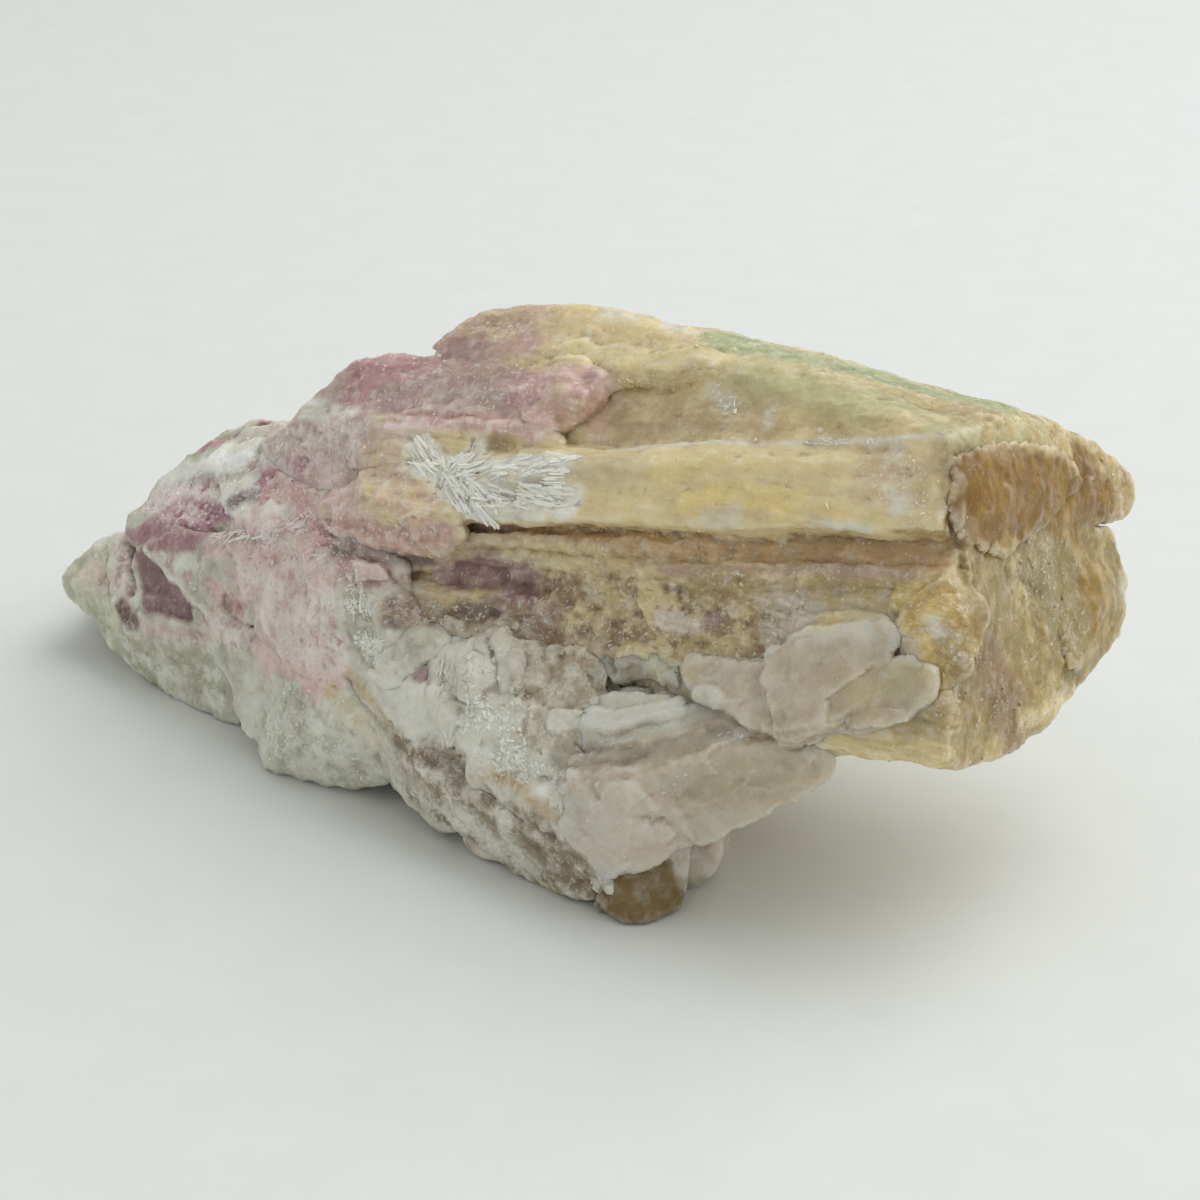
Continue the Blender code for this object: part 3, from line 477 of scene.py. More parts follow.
    zone("grey_brown", 2.6, 1.6, 0.85, "-15,-17.6 -9,-22 -5,-25.6", "milk", run=(0.84, -0.54, 0.5, 1)),
    zone("grey_umber", 1.1, 0.9, 0.7, "-16.6,-15.6 -11.6,-19.4", "warm_smoke", 0.4),
    zone("milk", 1.6, 0.9, 0.85, "-14.4,-21.8 -7.4,-26.2", "green_white", 0.5),
    zone("white", 1, 0.7, 0.8, "-18,-13.2 -15,-14.2"),
    zone("milk", 1.4, 1, 0.75, "-20.5,-15.6 -16.8,-19.8"),
    plate("quartz_matrix", "white", 0.8, 0.35, (0.02, 0.06), "-22.8,-7.1 -15.2,-9 -14.6,-13.5 -18.5,-13.9", blur=0.35,
          torn=0.7, hackle=0.3, fine=0.4),
    plate("quartz_matrix", "milk", 0.35, 0.4, (-0.06, 0.03), "-10.3,-4 -5.5,-2.4 -4,-5 -5.5,-8.3 -10,-9", blur=0.35,
          torn=0.7, hackle=0.5),
    plate("quartz_matrix", "milk", 0.5, 0.4, (0.07, -0.03), "-16,-4 -11.4,-2.8 -10.6,-8 -13,-10 -15.5,-9", blur=0.35,
          torn=0.7, hackle=0.5),
    # glassy blades
    # darker grey-brown in the sunk gap between the plates: painted shade
    zone("grey_brown", 2, 0.5, 0.9, "0.5,-8.2 5.5,-8.6", "smoke", 0.5, rise=-0.35, fill=0.1),
    zone("rosy_milk", 2.4, 0.8, 1, "7,-8 15,-8.4", "milk", 0.4, hackle=0.7, run=(1, -0.3, 0.4, 1.8)),
    zone("rosy_milk", 4.4, 0.8, 1, "19,-7 25,-10.5", "warm_milk", 0.4, hackle=0.8, run=(0.9, 0.4, 0.4, 2.2)),
    zone("rosy_milk", 3.2, 0.8, 1, "19,-3 27,-3.2 29.4,-6", "warm_milk", 0.5, hackle=0.6),
    zone("white", 0.8, 0.9, 0.7, "20.5,-3.4 27,-3.6"),
    zone("warm_milk", 1.2, 1, 0.8, "17.8,-3.6 18,-9"),
    zone("straw", 1.6, 1.5, 0.5, "26.5,-9.5 30.5,-8"),
    zone("straw", 1.2, 1, 0.75, "22.5,-1.5 28,-1.3", "ochre", 0.4),
    zone("pale_straw", 1.1, 0.9, 0.6, "6.4,-7.2 9.2,-7.7"),
    zone("ochre", 1.2, 1.2, 0.7, "3.5,-26 9,-24.8", only="glassy_quartz"),
    zone("rosy_milk", 4.6, 0.8, 1, "3,-19 13,-16 20,-16", "warm_milk", 0.3, hackle=0.75, run=(0.9, 0.42, 0.45, 2.2)),
    zone("warm_smoke", 1.3, 0.4, 0.85, "-4,-15.8 5,-15.8 12,-13.8", "smoke", 0.4, rise=-0.3),
    zone("white", 1.2, 0.3, 0.65, "-4,-12.2 2,-12.4 8,-11.2", rise=0.4, torn=0.45, run=(1, 0.1, 0.3, 1.2)),
    zone("grey_umber", 0.4, 0.4, 0.55, "-5.5,-18 0,-17 5,-15.4"),
    zone("white", 0.9, 0.8, 0.55, "6.5,-18.6 14,-13.8", fleck=1),
    zone("warm_milk", 3, 0.35, 1, "-2,-20.5 4,-24.5", "white", 0.4, rise=0.35, hackle=0.7, run=(0.9, 0.35, 0.35, 2)),
    zone("warm_milk", 3.2, 0.8, 1, "9,-26 11.5,-29", "white", 0.4),
    zone("umber", 4.2, 0.8, 1, "1,-27.5 5.5,-31", "grey_brown", 0.25, only="foot_crystal"),
    plate("glassy_quartz", "milk", 0, 0.45, (-0.06, 0.02), "17.5,-13.5 17.2,-5 20.5,-2.6 28.6,-2 33,-6.8 23.3,-12.2",
          hackle=0.4, fine=0.3, erode=0.3),
    plate("glassy_quartz", "warm_milk", 0.4, 0.3, (-0.04, -0.05), "6.8,-7.3 10.9,-5.6 17.4,-5.4 17.7,-13.9", hackle=0.5,
          fine=0.3),
    plate("glassy_quartz", "white", 0.45, 0.35, (0, 0.12), "-6.2,-10.6 -2.5,-9.2 12.3,-9 13.5,-10.2 0,-13.8 -3.4,-13.5",
          hackle=0.5, fleck=0.8),
    plate("glassy_quartz", "rosy_milk", 0.5, 0.3, (0.03, -0.05),
          "5,-16.5 10,-14.7 19,-13.7 24.5,-13.8 23,-17 19,-20 10,-24.5 4,-20", hackle=0.5, fine=0.3),
    plate("glassy_quartz", "warm_milk", 0.6, 0.45, (-0.05, -0.03),
          "-5.5,-17.5 0,-16.5 5,-16.5 9.5,-23.5 4,-27 1.5,-28 -4,-22.5", hackle=0.9, fleck=0.6),
    plate("glassy_quartz", "milk", 0.5, 0, (0.08, 0.08), "-4.5,-19.5 3.5,-18 6.5,-21.5 1,-25.5"),
    # broken end of the crystal
    zone("end_ochre", 7, 0.8, 1, "39,12 46,8 50,0 42,-10", "ochre", fleck=0.35, hackle=0.35, heave=0.7, fine=0.3,
         stria=0, fill=0.8, erode=0.2, ledge=0),
    zone("end_ochre", 4.6, 0.8, 1, "39.4,6 38.6,-4 38,-12", "ochre", fleck=0.35, hackle=0.35, heave=0.7, fine=0.3,
         stria=0, fill=0.8, erode=0.2, ledge=0),
    zone("amber", 5.2, 1.3, 1, "38.8,9.6 42,12 45,9.6", "honey", hackle=0.3, heave=0.5, fine=0.3, fleck=0.1, melt=1,
         fill=1, erode=0, stria=0),
    zone("amber", 2.6, 1.4, 0.9, "45.8,12.6 47.6,8.6", "honey", 0.5, fleck=0.1),
    zone("amber", 0.9, 0.7, 0.75, "36.2,13.6 35.9,10 36.1,6.6", rise=0.3, fill=1, melt=0.9, erode=0, hackle=0.1,
         fine=0.25, fleck=0.1),
    zone("amber", 1.3, 1.1, 0.7, "37.6,15.4 42.5,15.3", "tan_brown", 0.4, fleck=0.2),
    zone("ochre", 1.8, 1.2, 0.8, "42,17.2 48,15.4", "straw", 0.45, melt=0.7, fill=0.9),
    zone("amber", 2.6, 1, 1, "48.2,13.2 50.2,10", "honey", 0.4, fleck=0.2, hackle=0.4, melt=0.5, fill=0.7),
    zone("honey", 1, 0.8, 0.8, "52,12.5 52.2,8.4", fill=0, melt=0),
    zone("tan_brown", 1, 1.2, 0.7, "36.4,8 37.2,4.6"),
    zone("end_grey", 4, 0.9, 1, "43.5,3.4 47,-1.5", "end_ochre", 0.3, rise=-0.25, hackle=0.35, fleck=0.5),
    zone("end_grey", 2.2, 1.2, 0.6, "39.5,1 41,-3", "end_ochre", 0.4),
    zone("honey", 2, 0.7, 1, "48.6,2.5 49.6,-3", "end_ochre", 0.5, rise=0.2, hackle=0.4, fleck=0.3),
    zone("milk", 1.3, 0.8, 0.8, "52.2,1.5 51.6,-5", "pale_green", 0.5),
    zone("lobe_ochre", 2.8, 0.5, 1, "31.4,-0.4 35.5,-3.5", "gold", 0.4, rise=0.25, hackle=0.6, fleck=0.7, melt=0.6,
         fill=0.9),
    zone("white", 0.8, 0.7, 0.8, "33.6,-2.6 34.6,-3.4"),
    zone("end_brown", 3.6, 1.8, 1, "38.2,-6 40.8,-11.2", "end_mauve", 0.4, hackle=0.4, fleck=0.4),
    zone("end_mauve", 2.4, 1.8, 0.7, "38.2,-7.5 40.8,-11", "end_brown", 0.5, hackle=0.4),
    zone("ochre", 1.4, 1.4, 0.6, "33,-7.5 34.5,-11"),
    zone("straw", 1.9, 0.8, 0.95, "24,-14.6 32.5,-15.8", "tan", 0.4, hackle=0.4),
    zone("ochre", 1.5, 0.8, 0.9, "32.5,-16.4 39,-15.4", "tan", 0.3, hackle=0.4),
    zone("ochre", 1, 0.8, 0.9, "42,-12.4 47,-9.2", "tan", 0.4, hackle=0.4, fleck=0.8),
    zone("pale_green", 1.5, 1.2, 0.7, "33.5,16.8 37.5,16.8", "ochre"),
    zone("ochre", 1.4, 1.2, 0.8, "38.5,16.7 45,16.4", "pale_green", 0.4),
    zone("tan", 1.7, 1, 0.85, "32.2,14.2 32.6,10.5 32.2,8", "peach", 0.4),
    zone("end_brown", 1.9, 1.4, 0.55, "37.6,1.8 37,-5 36.2,-10.5"),
]


def crystal_base(p, normal):
    """The tourmaline's own zoning: pink at the root, straw and olive along its length, honey at the broken
    end, and a thin green skin on the outer prism faces behind."""
    u = p @ ALONG
    wave = layered(in_crystal(p, 14, 5), 401, 3)
    tint = blend(linear("mauve_grey"), "tan", smooth(-12, 10, u + 8 * wave))
    tint = blend(tint, "ochre", smooth(44, 56, u + 5 * wave))
    skin = smooth(0.1, 0.7, normal @ BACKWARD + 0.35 * layered(in_crystal(p, 9, 2), 405, 3))
    tint = blend(tint, "moss", skin * smooth(-25, 0, u) * 0.75)
    tint = blend(tint, "tan_brown", smooth(0.15, 0.55, layered(in_crystal(p, 11, 3) + 30, 407, 4)) * 0.55)
    rosy = smooth(0.2, 0.5, layered(in_crystal(p, 9, 4) + 60, 409, 4))
    return blend(tint, "dull_rose", rosy * smooth(25, -15, u) * 0.7)


def matrix_base(p, normal):
    """Pale rock with rosy and brown patches, and painted shade: greyer brown on faces that look down."""
    tint = blend(linear("sage"), "green_white", smooth(-0.5, 0.5, layered(p / 9, 411, 3)))
    tint = blend(tint, "rose", smooth(0.2, 0.5, layered(p / 7 + 40, 415, 4)) * 0.6)
    tint = blend(tint, "grey_brown", smooth(0.15, 0.5, layered(p / 5 + 80, 417, 4)) * 0.5)
    # faces that look down are blended towards grey-brown: painted shade
    return blend(tint, "grey_brown", smooth(-0.1, -0.9, normal[:, 2]) * 0.35)


def glassy_base(p, normal):
    return blend(linear("smoke"), "milk", smooth(-0.5, 0.5, layered(p / 8, 421, 3)))


def foot_base(p, normal):
    return blend(linear("umber"), "grey_brown", smooth(-0.4, 0.6, layered(p / 3, 431, 3)))


# Per piece: mesh size in mm, base colour, slot, share of small facets, and the usual strength of each kind of relief.
PIECES = {
    "rubellite_crystal": dict(voxel=0.34, base=crystal_base, slot="rubellite", small=1.0,
                              heave=0.45, hackle=0.32, fine=0.65, stria=1.3, ledge=0.4, fleck=0.6, erode=0.6,
                              melt=0.10, fill=0.45),
    "quartz_matrix": dict(voxel=0.35, base=matrix_base, slot="matrix", small=1.0,
                          heave=0.8, hackle=1.1, fine=0.9, stria=0.0, ledge=0.0, fleck=0.6, erode=0.6,
                          melt=0.25, fill=0.75),
    "glassy_quartz": dict(voxel=0.30, base=glassy_base, slot="glassy_quartz", small=0.2,
                          heave=0.5, hackle=0.95, fine=0.5, stria=0.0, ledge=0.0, fleck=0.3, erode=0.6,
                          melt=0.25, fill=0.75),
    "foot_crystal": dict(voxel=0.32, base=foot_base, slot="foot_crystal", small=0.4,
                         heave=0.5, hackle=0.7, fine=0.5, stria=0.0, ledge=0.0, fleck=0.3, erode=0.45,
                         melt=0.2, fill=0.3),
}
RELIEF = ("heave", "hackle", "fine", "stria", "ledge", "fleck", "erode", "melt", "fill")
USUAL_SHARE = 0.35        # of the second colour
ZONE_SEED = 800           # the seed of a drawn zone is this plus its place in the list
WARP = ((4.0, 1.8), (1.1, 0.7))  # a zone's border wanders: size of the noise and how far, in mm
DRAWN_OUT = 9.0           # how much longer than wide the splinters of a drawn zone are
RIDGE_SHARE = 0.22        # how much more of the second colour shows on its ridges
LEAST_COVER = 0.003       # a zone is left out where it covers less than this
CREST = math.radians(30)  # edges sharper than this are drawn as crests
SWELL = 0.24              # each piece grows by this, so that the pieces meet with no slit
JOINED_WITHIN = 1.6       # surface this near to another piece swells by up to LAP more, and closes the slit
LAP = 0.45
HIDDEN_WITHIN = 0.7       # surface this near to another piece can't be seen, and needs few faces
MOST_FACES = 192000       # triangles in one piece
SHOWN_WEIGHT = 0.02       # how readily faces are taken out where they show, and how much more where they don't
HIDDEN_FACTOR = 4.0
WANDER = 0.40             # sideways wandering of edges
WANDER_SCALE = 2.8
SKIN_SIZE = 0.55          # mesh size of the skin over the whole specimen, and how often it is averaged
SKIN_ROUNDS = 130
SHIFT_ROUNDS = 6          # how often the shift towards that skin is averaged
PROUD_ROUNDS = 24         # edges that stand out of a surface averaged this often are bitten, up to MOST_PROUD mm
MOST_PROUD = 1.2
BITE_SIZE = 1.5
# the hollows found here are darkened in the material as painted shade; the crests are worn pale
WEAR_AND_SHADE = ((2, 0.05, 0.4), (14, 0.28, 0.6))  # crests and hollows: rounds of averaging, full height in mm, share
BOX_MARGIN = 0.02         # every surface stays this far inside the CAD box


def drawn(p, across, up, size, seed):
    """Splintery ridges that run one way over the layout plane, from -1 to 1."""
    run = SIGHT_RIGHT * across + SIGHT_UP * up
    run = run / np.linalg.norm(run)
    squeezed = p - np.outer(p @ run, run) * (1 - 1 / DRAWN_OUT)
    squeezed = squeezed + layered(p / 4.0, seed + 5, 2)[:, None] * 0.5
    steps = stepped(layered(squeezed / (size * 2.4), seed + 9, 2), 3.5, 0.75)
    return np.clip(hackle(squeezed / size, seed) + 0.7 * steps, -1, 1)


def paint(name, p, normal):
    """Main and second colour, the second one's share, and relief at each point: the piece's own base, then each
    zone laid over it with a frayed border."""
    kind = PIECES[name]
    tint = kind["base"](p, normal)
    second = blend(tint, MILKY, PALE)
    share = np.full(len(p), USUAL_SHARE)
    relief = {k: np.full(len(p), float(kind[k])) for k in RELIEF}
    relief["splinter"] = np.zeros(len(p))
    warp = drift(p, WARP[0][0], (501, 511, 521), 4) * WARP[0][1]
    warp += drift(p, WARP[1][0], (531, 541, 551), 2) * WARP[1][1]
    fray = layered(p / 1.3, 571, 3)
    for index, (colour, width, blur, power, points, other, amount, look) in enumerate(ZONES):
        if look.get("only", name) != name:
            continue
        torn = look.get("torn", 1.0)
        bent = p + warp * np.clip(width / 3.5, 0.3, 1.0) * torn
        if "tilt" in look:
            reach, spot = to_plate(bent, points)
            mask = smooth(blur, -blur, reach - fray * 0.6 * torn) * smooth(0.15, -0.15, normal @ SIGHT_AWAY)
            relief["splinter"] += mask * (spot @ np.array(look["tilt"]))
        else:
            reach = to_path(bent, [on_stone(*point) for point in points]) - fray * min(1.4, 0.4 * width) * torn
            mask = smooth(width + blur, width - blur, reach)
        inside = mask > LEAST_COVER
        if not inside.any():
            continue
        mask = mask[inside]
        cover = mask * power
        other = linear(other) if other else blend(linear(colour), MILKY, PALE)
        tint[inside] = blend(tint[inside], colour, cover)
        second[inside] = blend(second[inside], other, cover)
        share[inside] = blend(share[inside], amount, cover)
        for k in RELIEF:
            if k in look:
                relief[k][inside] = blend(relief[k][inside], look[k], mask)
        relief["splinter"][inside] += mask * look.get("rise", 0.0)
        if "run" in look:
            across, up, height, size = look["run"]
            ridges = drawn(p[inside], across, up, size, ZONE_SEED + index)
            relief["splinter"][inside] += mask * ridges * height
            share[inside] += mask * ridges * RIDGE_SHARE
    return tint, second, share, relief


# Relief at a strength of 1, in mm. Sizes in pairs are along and across the crystal.
HEAVE_HEIGHT, HEAVE_SIZE = 0.75, 6.5
BEND, BEND_SIZE = 0.8, 3.0              # facets bend this far, so that none is quite flat
FACET_HEIGHT, FACET_WIDTH = 0.75, 4.4
SMALL_HEIGHT, SMALL_WIDTH = 0.42, 1.8
FINE_HEIGHT, FINE_WIDTH = 0.15, 0.85
GRIT_HEIGHT, GRIT_SIZE = 0.06, 0.45
LINE_HEIGHT, LINE_SIZE = 0.07, (26, 0.7)
GROOVE_HEIGHT, GROOVE_SIZE = 0.12, (34, 2.2)
LEDGE_HEIGHT, LEDGE_SIZE = 0.75, (7.5, 2.2)
LEDGE_STEPS, LEDGE_TREAD = 3.2, 0.72


def weather(p, relief, small):
    """How far the broken surface stands in or out of the CAD face, in mm."""
    out = relief["heave"] * HEAVE_HEIGHT * layered(p / HEAVE_SIZE, 601, 4)
    bent = p + drift(p, BEND_SIZE, (611, 613, 617), 2) * BEND
    out += relief["hackle"] * (FACET_HEIGHT * hackle(bent / FACET_WIDTH, 621)
                               + SMALL_HEIGHT * small * hackle(bent / SMALL_WIDTH, 625))
    out += relief["fine"] * (FINE_HEIGHT * hackle(p / FINE_WIDTH, 631) + GRIT_HEIGHT * value_noise(p / GRIT_SIZE, 635))
    out += relief["stria"] * (LINE_HEIGHT * layered(in_crystal(p, *LINE_SIZE), 641, 2)
                              + GROOVE_HEIGHT * value_noise(in_crystal(p, *GROOVE_SIZE), 651))
    ledges = stepped(layered(in_crystal(p, *LEDGE_SIZE), 661, 3), LEDGE_STEPS, LEDGE_TREAD)
    out += relief["ledge"] * LEDGE_HEIGHT * ledges
    return out + relief["splinter"]


# ---------------------------------------------------------------- meshes

def placed(name, data):
    thing = bpy.data.objects.new(name, data)
    bpy.context.scene.collection.objects.link(thing)
    return thing


def evaluated(thing):
    """The mesh of an object, with its modifiers applied."""
    return bpy.data.meshes.new_from_object(thing.evaluated_get(bpy.context.evaluated_depsgraph_get()))


def voxel_mesh(solid, size):
    """A closed mesh as an even, dense one."""
    work = placed("work", solid.copy())
    remesh = work.modifiers.new("even", "REMESH")
    remesh.mode = "VOXEL"
    remesh.voxel_size = size * MM
    dense = evaluated(work)
    bpy.data.objects.remove(work)
    return dense


def values_of(items, what, width=3, kind=float):
    """One property of many mesh parts, as the rows of an array."""
    values = np.empty(len(items) * width, kind)
    items.foreach_get(what, values)
    return values.reshape(-1, width)


def coordinates(mesh):
    return values_of(mesh.vertices, "co") / MM


def normals(mesh):
    return values_of(mesh.vertex_normals, "vector")


def neighbours(mesh):
    return values_of(mesh.edges, "vertices", 2, np.int64)


def set_coordinates(mesh, p):
    mesh.vertices.foreach_set("co", (p * MM).ravel())
    mesh.update()


def averaged(values, edges, times=1):
    """Each point's value drawn half way to the mean of its neighbours', some times over."""
    count = np.bincount(edges.ravel(), minlength=len(values)).clip(1)
    for _ in range(times):
        if values.ndim == 1:
            total = np.bincount(edges[:, 0], values[edges[:, 1]], len(values))
            total += np.bincount(edges[:, 1], values[edges[:, 0]], len(values))
            values = (values + total / count) / 2
        else:
            values = np.stack([averaged(values[:, k], edges) for k in range(values.shape[1])], 1)
    return values


def softened(nodes):
    """The whole specimen as one skin, and how far each point of it moves when its steps and creases are smoothed."""
    whole = bpy.data.meshes.new("whole")
    bm = bmesh.new()
    for node in nodes:
        bm.from_mesh(node.data)
    bm.to_mesh(whole)
    bm.free()
    skin = voxel_mesh(whole, SKIN_SIZE)
    edges = neighbours(skin)
    p = coordinates(skin)
    shift = averaged(p, edges, SKIN_ROUNDS) - p
    tree = KDTree(len(p))
    for index, spot in enumerate(p):
        tree.insert(spot, index)
    tree.balance()
    bpy.data.meshes.remove(skin)
    return tree, shift


def thin_out(piece, hidden):
    """Fewer faces where nothing shows, and then where the surface is flat."""
    group = piece.vertex_groups.new(name="hidden")
    group.add(np.flatnonzero(hidden).tolist(), 1.0, "REPLACE")
    group.add(np.flatnonzero(~hidden).tolist(), SHOWN_WEIGHT, "REPLACE")
    fewer = piece.modifiers.new("fewer", "DECIMATE")
    fewer.ratio = min(1.0, MOST_FACES / (2 * len(piece.data.polygons)))
    fewer.vertex_group = group.name
    fewer.vertex_group_factor = HIDDEN_FACTOR
    made = evaluated(piece)
    piece.modifiers.clear()
    piece.vertex_groups.clear()
    piece.data = made


def even_normals(mesh, edges):
    """Normals that ignore the finest bumps."""
    normal = averaged(normals(mesh), edges, 3)
    return normal / np.linalg.norm(normal, axis=1, keepdims=True).clip(1e-6)


def dress(node, others, box):
    """The broken surface of one solid, as an object that replaces it, and what small crystals need to grow on it."""
    name = node.name
    kind = PIECES[name]
    mesh = voxel_mesh(node.data, kind["voxel"])
    edges = neighbours(mesh)
    p = averaged(coordinates(mesh), edges, 1)
    set_coordinates(mesh, p)
    normal = even_normals(mesh, edges)
    tint, second, share, relief = paint(name, p, normal)
    shift = np.stack([SKIN_SHIFT[SKIN.find(spot)[1]] for spot in p])
    shift = averaged(shift, edges, SHIFT_ROUNDS)
    shift *= np.where((shift * normal).sum(1) > 0, relief["fill"], relief["melt"])[:, None]
    eased = p + shift
    set_coordinates(mesh, eased)
    normal = even_normals(mesh, edges)
    wander = drift(eased, WANDER_SCALE, (701, 711, 721), 3)
    gap = np.array([others.find_nearest(Vector(spot), JOINED_WITHIN)[3] or JOINED_WITHIN for spot in p])
    lap = LAP * (1 - gap / JOINED_WITHIN)
    proud = np.clip(((eased - averaged(eased, edges, PROUD_ROUNDS)) * normal).sum(1), 0, MOST_PROUD)
    bitten = proud * relief["erode"] * (0.35 + 1.6 * np.clip(hackle(eased / BITE_SIZE, 741), 0, 1))
    moved = eased + normal * (SWELL + lap + weather(eased, relief, kind["small"]) - bitten)[:, None] + wander * WANDER
    moved = np.clip(moved, box[0] + BOX_MARGIN, box[1] - BOX_MARGIN)
    set_coordinates(mesh, moved)
    fresh = normals(mesh)
    # crests and hollows: pale worn edges on the crests, painted shade in the hollows
    wear = np.zeros(len(moved))
    for rounds, height, part in WEAR_AND_SHADE:
        stands_out = ((moved - averaged(moved, edges, rounds)) * fresh).sum(1)
        wear = wear + np.clip(stands_out / height, -1, 1) * part
    give(mesh, tint=tint, second=second, share=share, wear=wear, dust=relief["fleck"], lines=relief["stria"])
    piece = placed(name + "_surface", mesh)
    hidden = gap < HIDDEN_WITHIN
    thin_out(piece, hidden)
    piece.data.name = piece.name
    piece.data.shade_smooth()
    piece.data.set_sharp_from_angle(angle=CREST)
    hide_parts(name)
    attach(piece, "root")
    fray = smooth(-0.4, 0.4, layered(moved / 2.0, 731, 3)) * ~hidden
    return piece, {"p": moved, "n": fresh, "tint": tint, "fray": fray}


def give(mesh, **layers):
    """Colours and values stored at each point of a mesh, for its material."""
    for name, values in layers.items():
        if values.ndim == 2:
            colour = mesh.attributes.new(name, "FLOAT_COLOR", "POINT")
            colour.data.foreach_set("color", np.concatenate([values, np.ones((len(values), 1))], 1).ravel())
        else:
            mesh.attributes.new(name, "FLOAT", "POINT").data.foreach_set("value", values)


# ---------------------------------------------------------------- small crystals

RIGHTWARD = (1, -0.05)
FORMS = 12                     # different crystals of one sort
LATH_HALF = (0.03, 0.07)       # range of a blade's half width and half thickness, per mm of its length
LATH_THICK = (0.012, 0.022)
GRAIN_RADIUS = (0.36, 0.56)    # range of a grain's corners from its middle, per mm of its size
LATH_DEPTH = (-0.02, 0.01)     # how far a crystal's middle stands out of the surface, per mm of its size
SHARD_DEPTH = (-0.34, -0.08)
GROW_WITHIN = 0.01             # mm, no crystal comes nearer than this to the CAD box
FEW_LARGE = 2.2                # the higher, the fewer of a bed's crystals are near its largest size
BRIGHTNESS = (0.95, 1.12)      # range of single crystals' tones


def shard(source, points, flat, long):
    """One angular grain: the hull of a few scattered points, flattened and drawn out; about 1 mm across."""
    spots = source.normal(size=(points, 3))
    spots /= np.linalg.norm(spots, axis=1, keepdims=True)
    spots *= np.array((long, 1.0, flat)) * source.uniform(*GRAIN_RADIUS, (points, 1))
    bm = bmesh.new()
    for spot in spots:
        bm.verts.new(spot)
    made = bmesh.ops.convex_hull(bm, input=bm.verts)
    bmesh.ops.delete(bm, geom=[v for v in made["geom_interior"] if isinstance(v, bmesh.types.BMVert)],
                     context="VERTS")
    bm.verts.ensure_lookup_table()
    bm.verts.index_update()
    corners = np.array([v.co for v in bm.verts])
    faces = np.array([[v.index for v in f.verts] for f in bm.faces])
    bm.free()
    return corners, faces


def lath(source):
    """One thin blade along its first direction, 1 mm long, with a slanting broken tip at each end."""
    half, thick = source.uniform(*LATH_HALF), source.uniform(*LATH_THICK)
    outline = [(-0.5, -half * 0.3), (-0.42, -half), (0.36, -half), (0.5, -half * source.uniform(-0.4, 0.8)),
               (0.43, half), (-0.36, half * source.uniform(0.7, 1.0))]
    corners = [(x, y, -thick) for x, y in outline] + [(x * 0.96, y * 0.8, thick) for x, y in outline]
    faces = []
    for k in range(1, 5):
        faces += [(0, k + 1, k), (6, 6 + k, 7 + k)]
    for k in range(6):
        after = (k + 1) % 6
        faces += [(k, after, after + 6), (k, after + 6, k + 6)]
    return np.array(corners), np.array(faces)


def turned(source, normal, run, spread, lean):
    """A rotation whose first direction follows run along the surface and whose third leans off its normal."""
    third = normal + source.normal(size=3) * lean
    third /= np.linalg.norm(third)
    first = run + source.normal(size=3) * spread
    first = first - third * (first @ third)
    first /= max(np.linalg.norm(first), 1e-6)
    return np.stack([first, np.cross(third, first), third], 1)


def bed(points, width, count, sizes, colour, share, run=RIGHTWARD, spread=1, lean=0.7):
    """A patch of small crystals: places, or none for the whole host; half width; count; smallest and largest size in
    mm; colour and its share over the host's own; direction over the layout plane, spread and lean."""
    return places(points), width, count, sizes, run, spread, lean, colour, share


def scatter(name, host, sort, beds, seed, box):
    """Small crystals of one sort grown into the host's surface, bed by bed."""
    source = np.random.default_rng(seed)
    forms = [lath(source) if sort == "lath" else shard(source, *sort) for _ in range(FORMS)]
    corners, faces, tints, total = [], [], [], 0
    for points, width, count, sizes, run, spread, lean, colour, share in beds:
        near = host["fray"] > 0.01
        if points:
            away = to_path(host["p"], [on_stone(*point) for point in points])
            near &= away < width * (0.55 + 0.45 * host["fray"])
        near = np.flatnonzero(near)
        if not len(near):
            continue
        direction = SIGHT_RIGHT * run[0] + SIGHT_UP * run[1]
        for pick in source.choice(near, count):
            size = sizes[0] + (sizes[1] - sizes[0]) * source.random() ** FEW_LARGE
            form, skin = forms[source.integers(len(forms))]
            turn = turned(source, host["n"][pick], direction, spread, lean)
            rise = source.uniform(*(LATH_DEPTH if sort == "lath" else SHARD_DEPTH))
            body = (form * size) @ turn.T + host["p"][pick] + host["n"][pick] * size * rise
            if (body < box[0] + GROW_WITHIN).any() or (body > box[1] - GROW_WITHIN).any():
                continue
            tone = blend(host["tint"][pick], colour, share)
            corners.append(body)
            faces.append(skin + total)
            tints.append(np.tile(tone * source.uniform(*BRIGHTNESS), (len(form), 1)))
            total += len(form)
    corners, faces, tints = np.concatenate(corners), np.concatenate(faces), np.concatenate(tints)
    mesh = bpy.data.meshes.new(name)
    mesh.from_pydata(corners * MM, [], faces.tolist())
    give(mesh, tint=np.clip(tints, 0, 0.94), second=np.clip(tints * 1.06, 0, 0.92), share=np.full(total, 0.4),
         wear=np.full(total, 0.15), dust=np.full(total, 0.3))
    piece = placed(name, mesh)
    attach(piece, "root")
    return piece


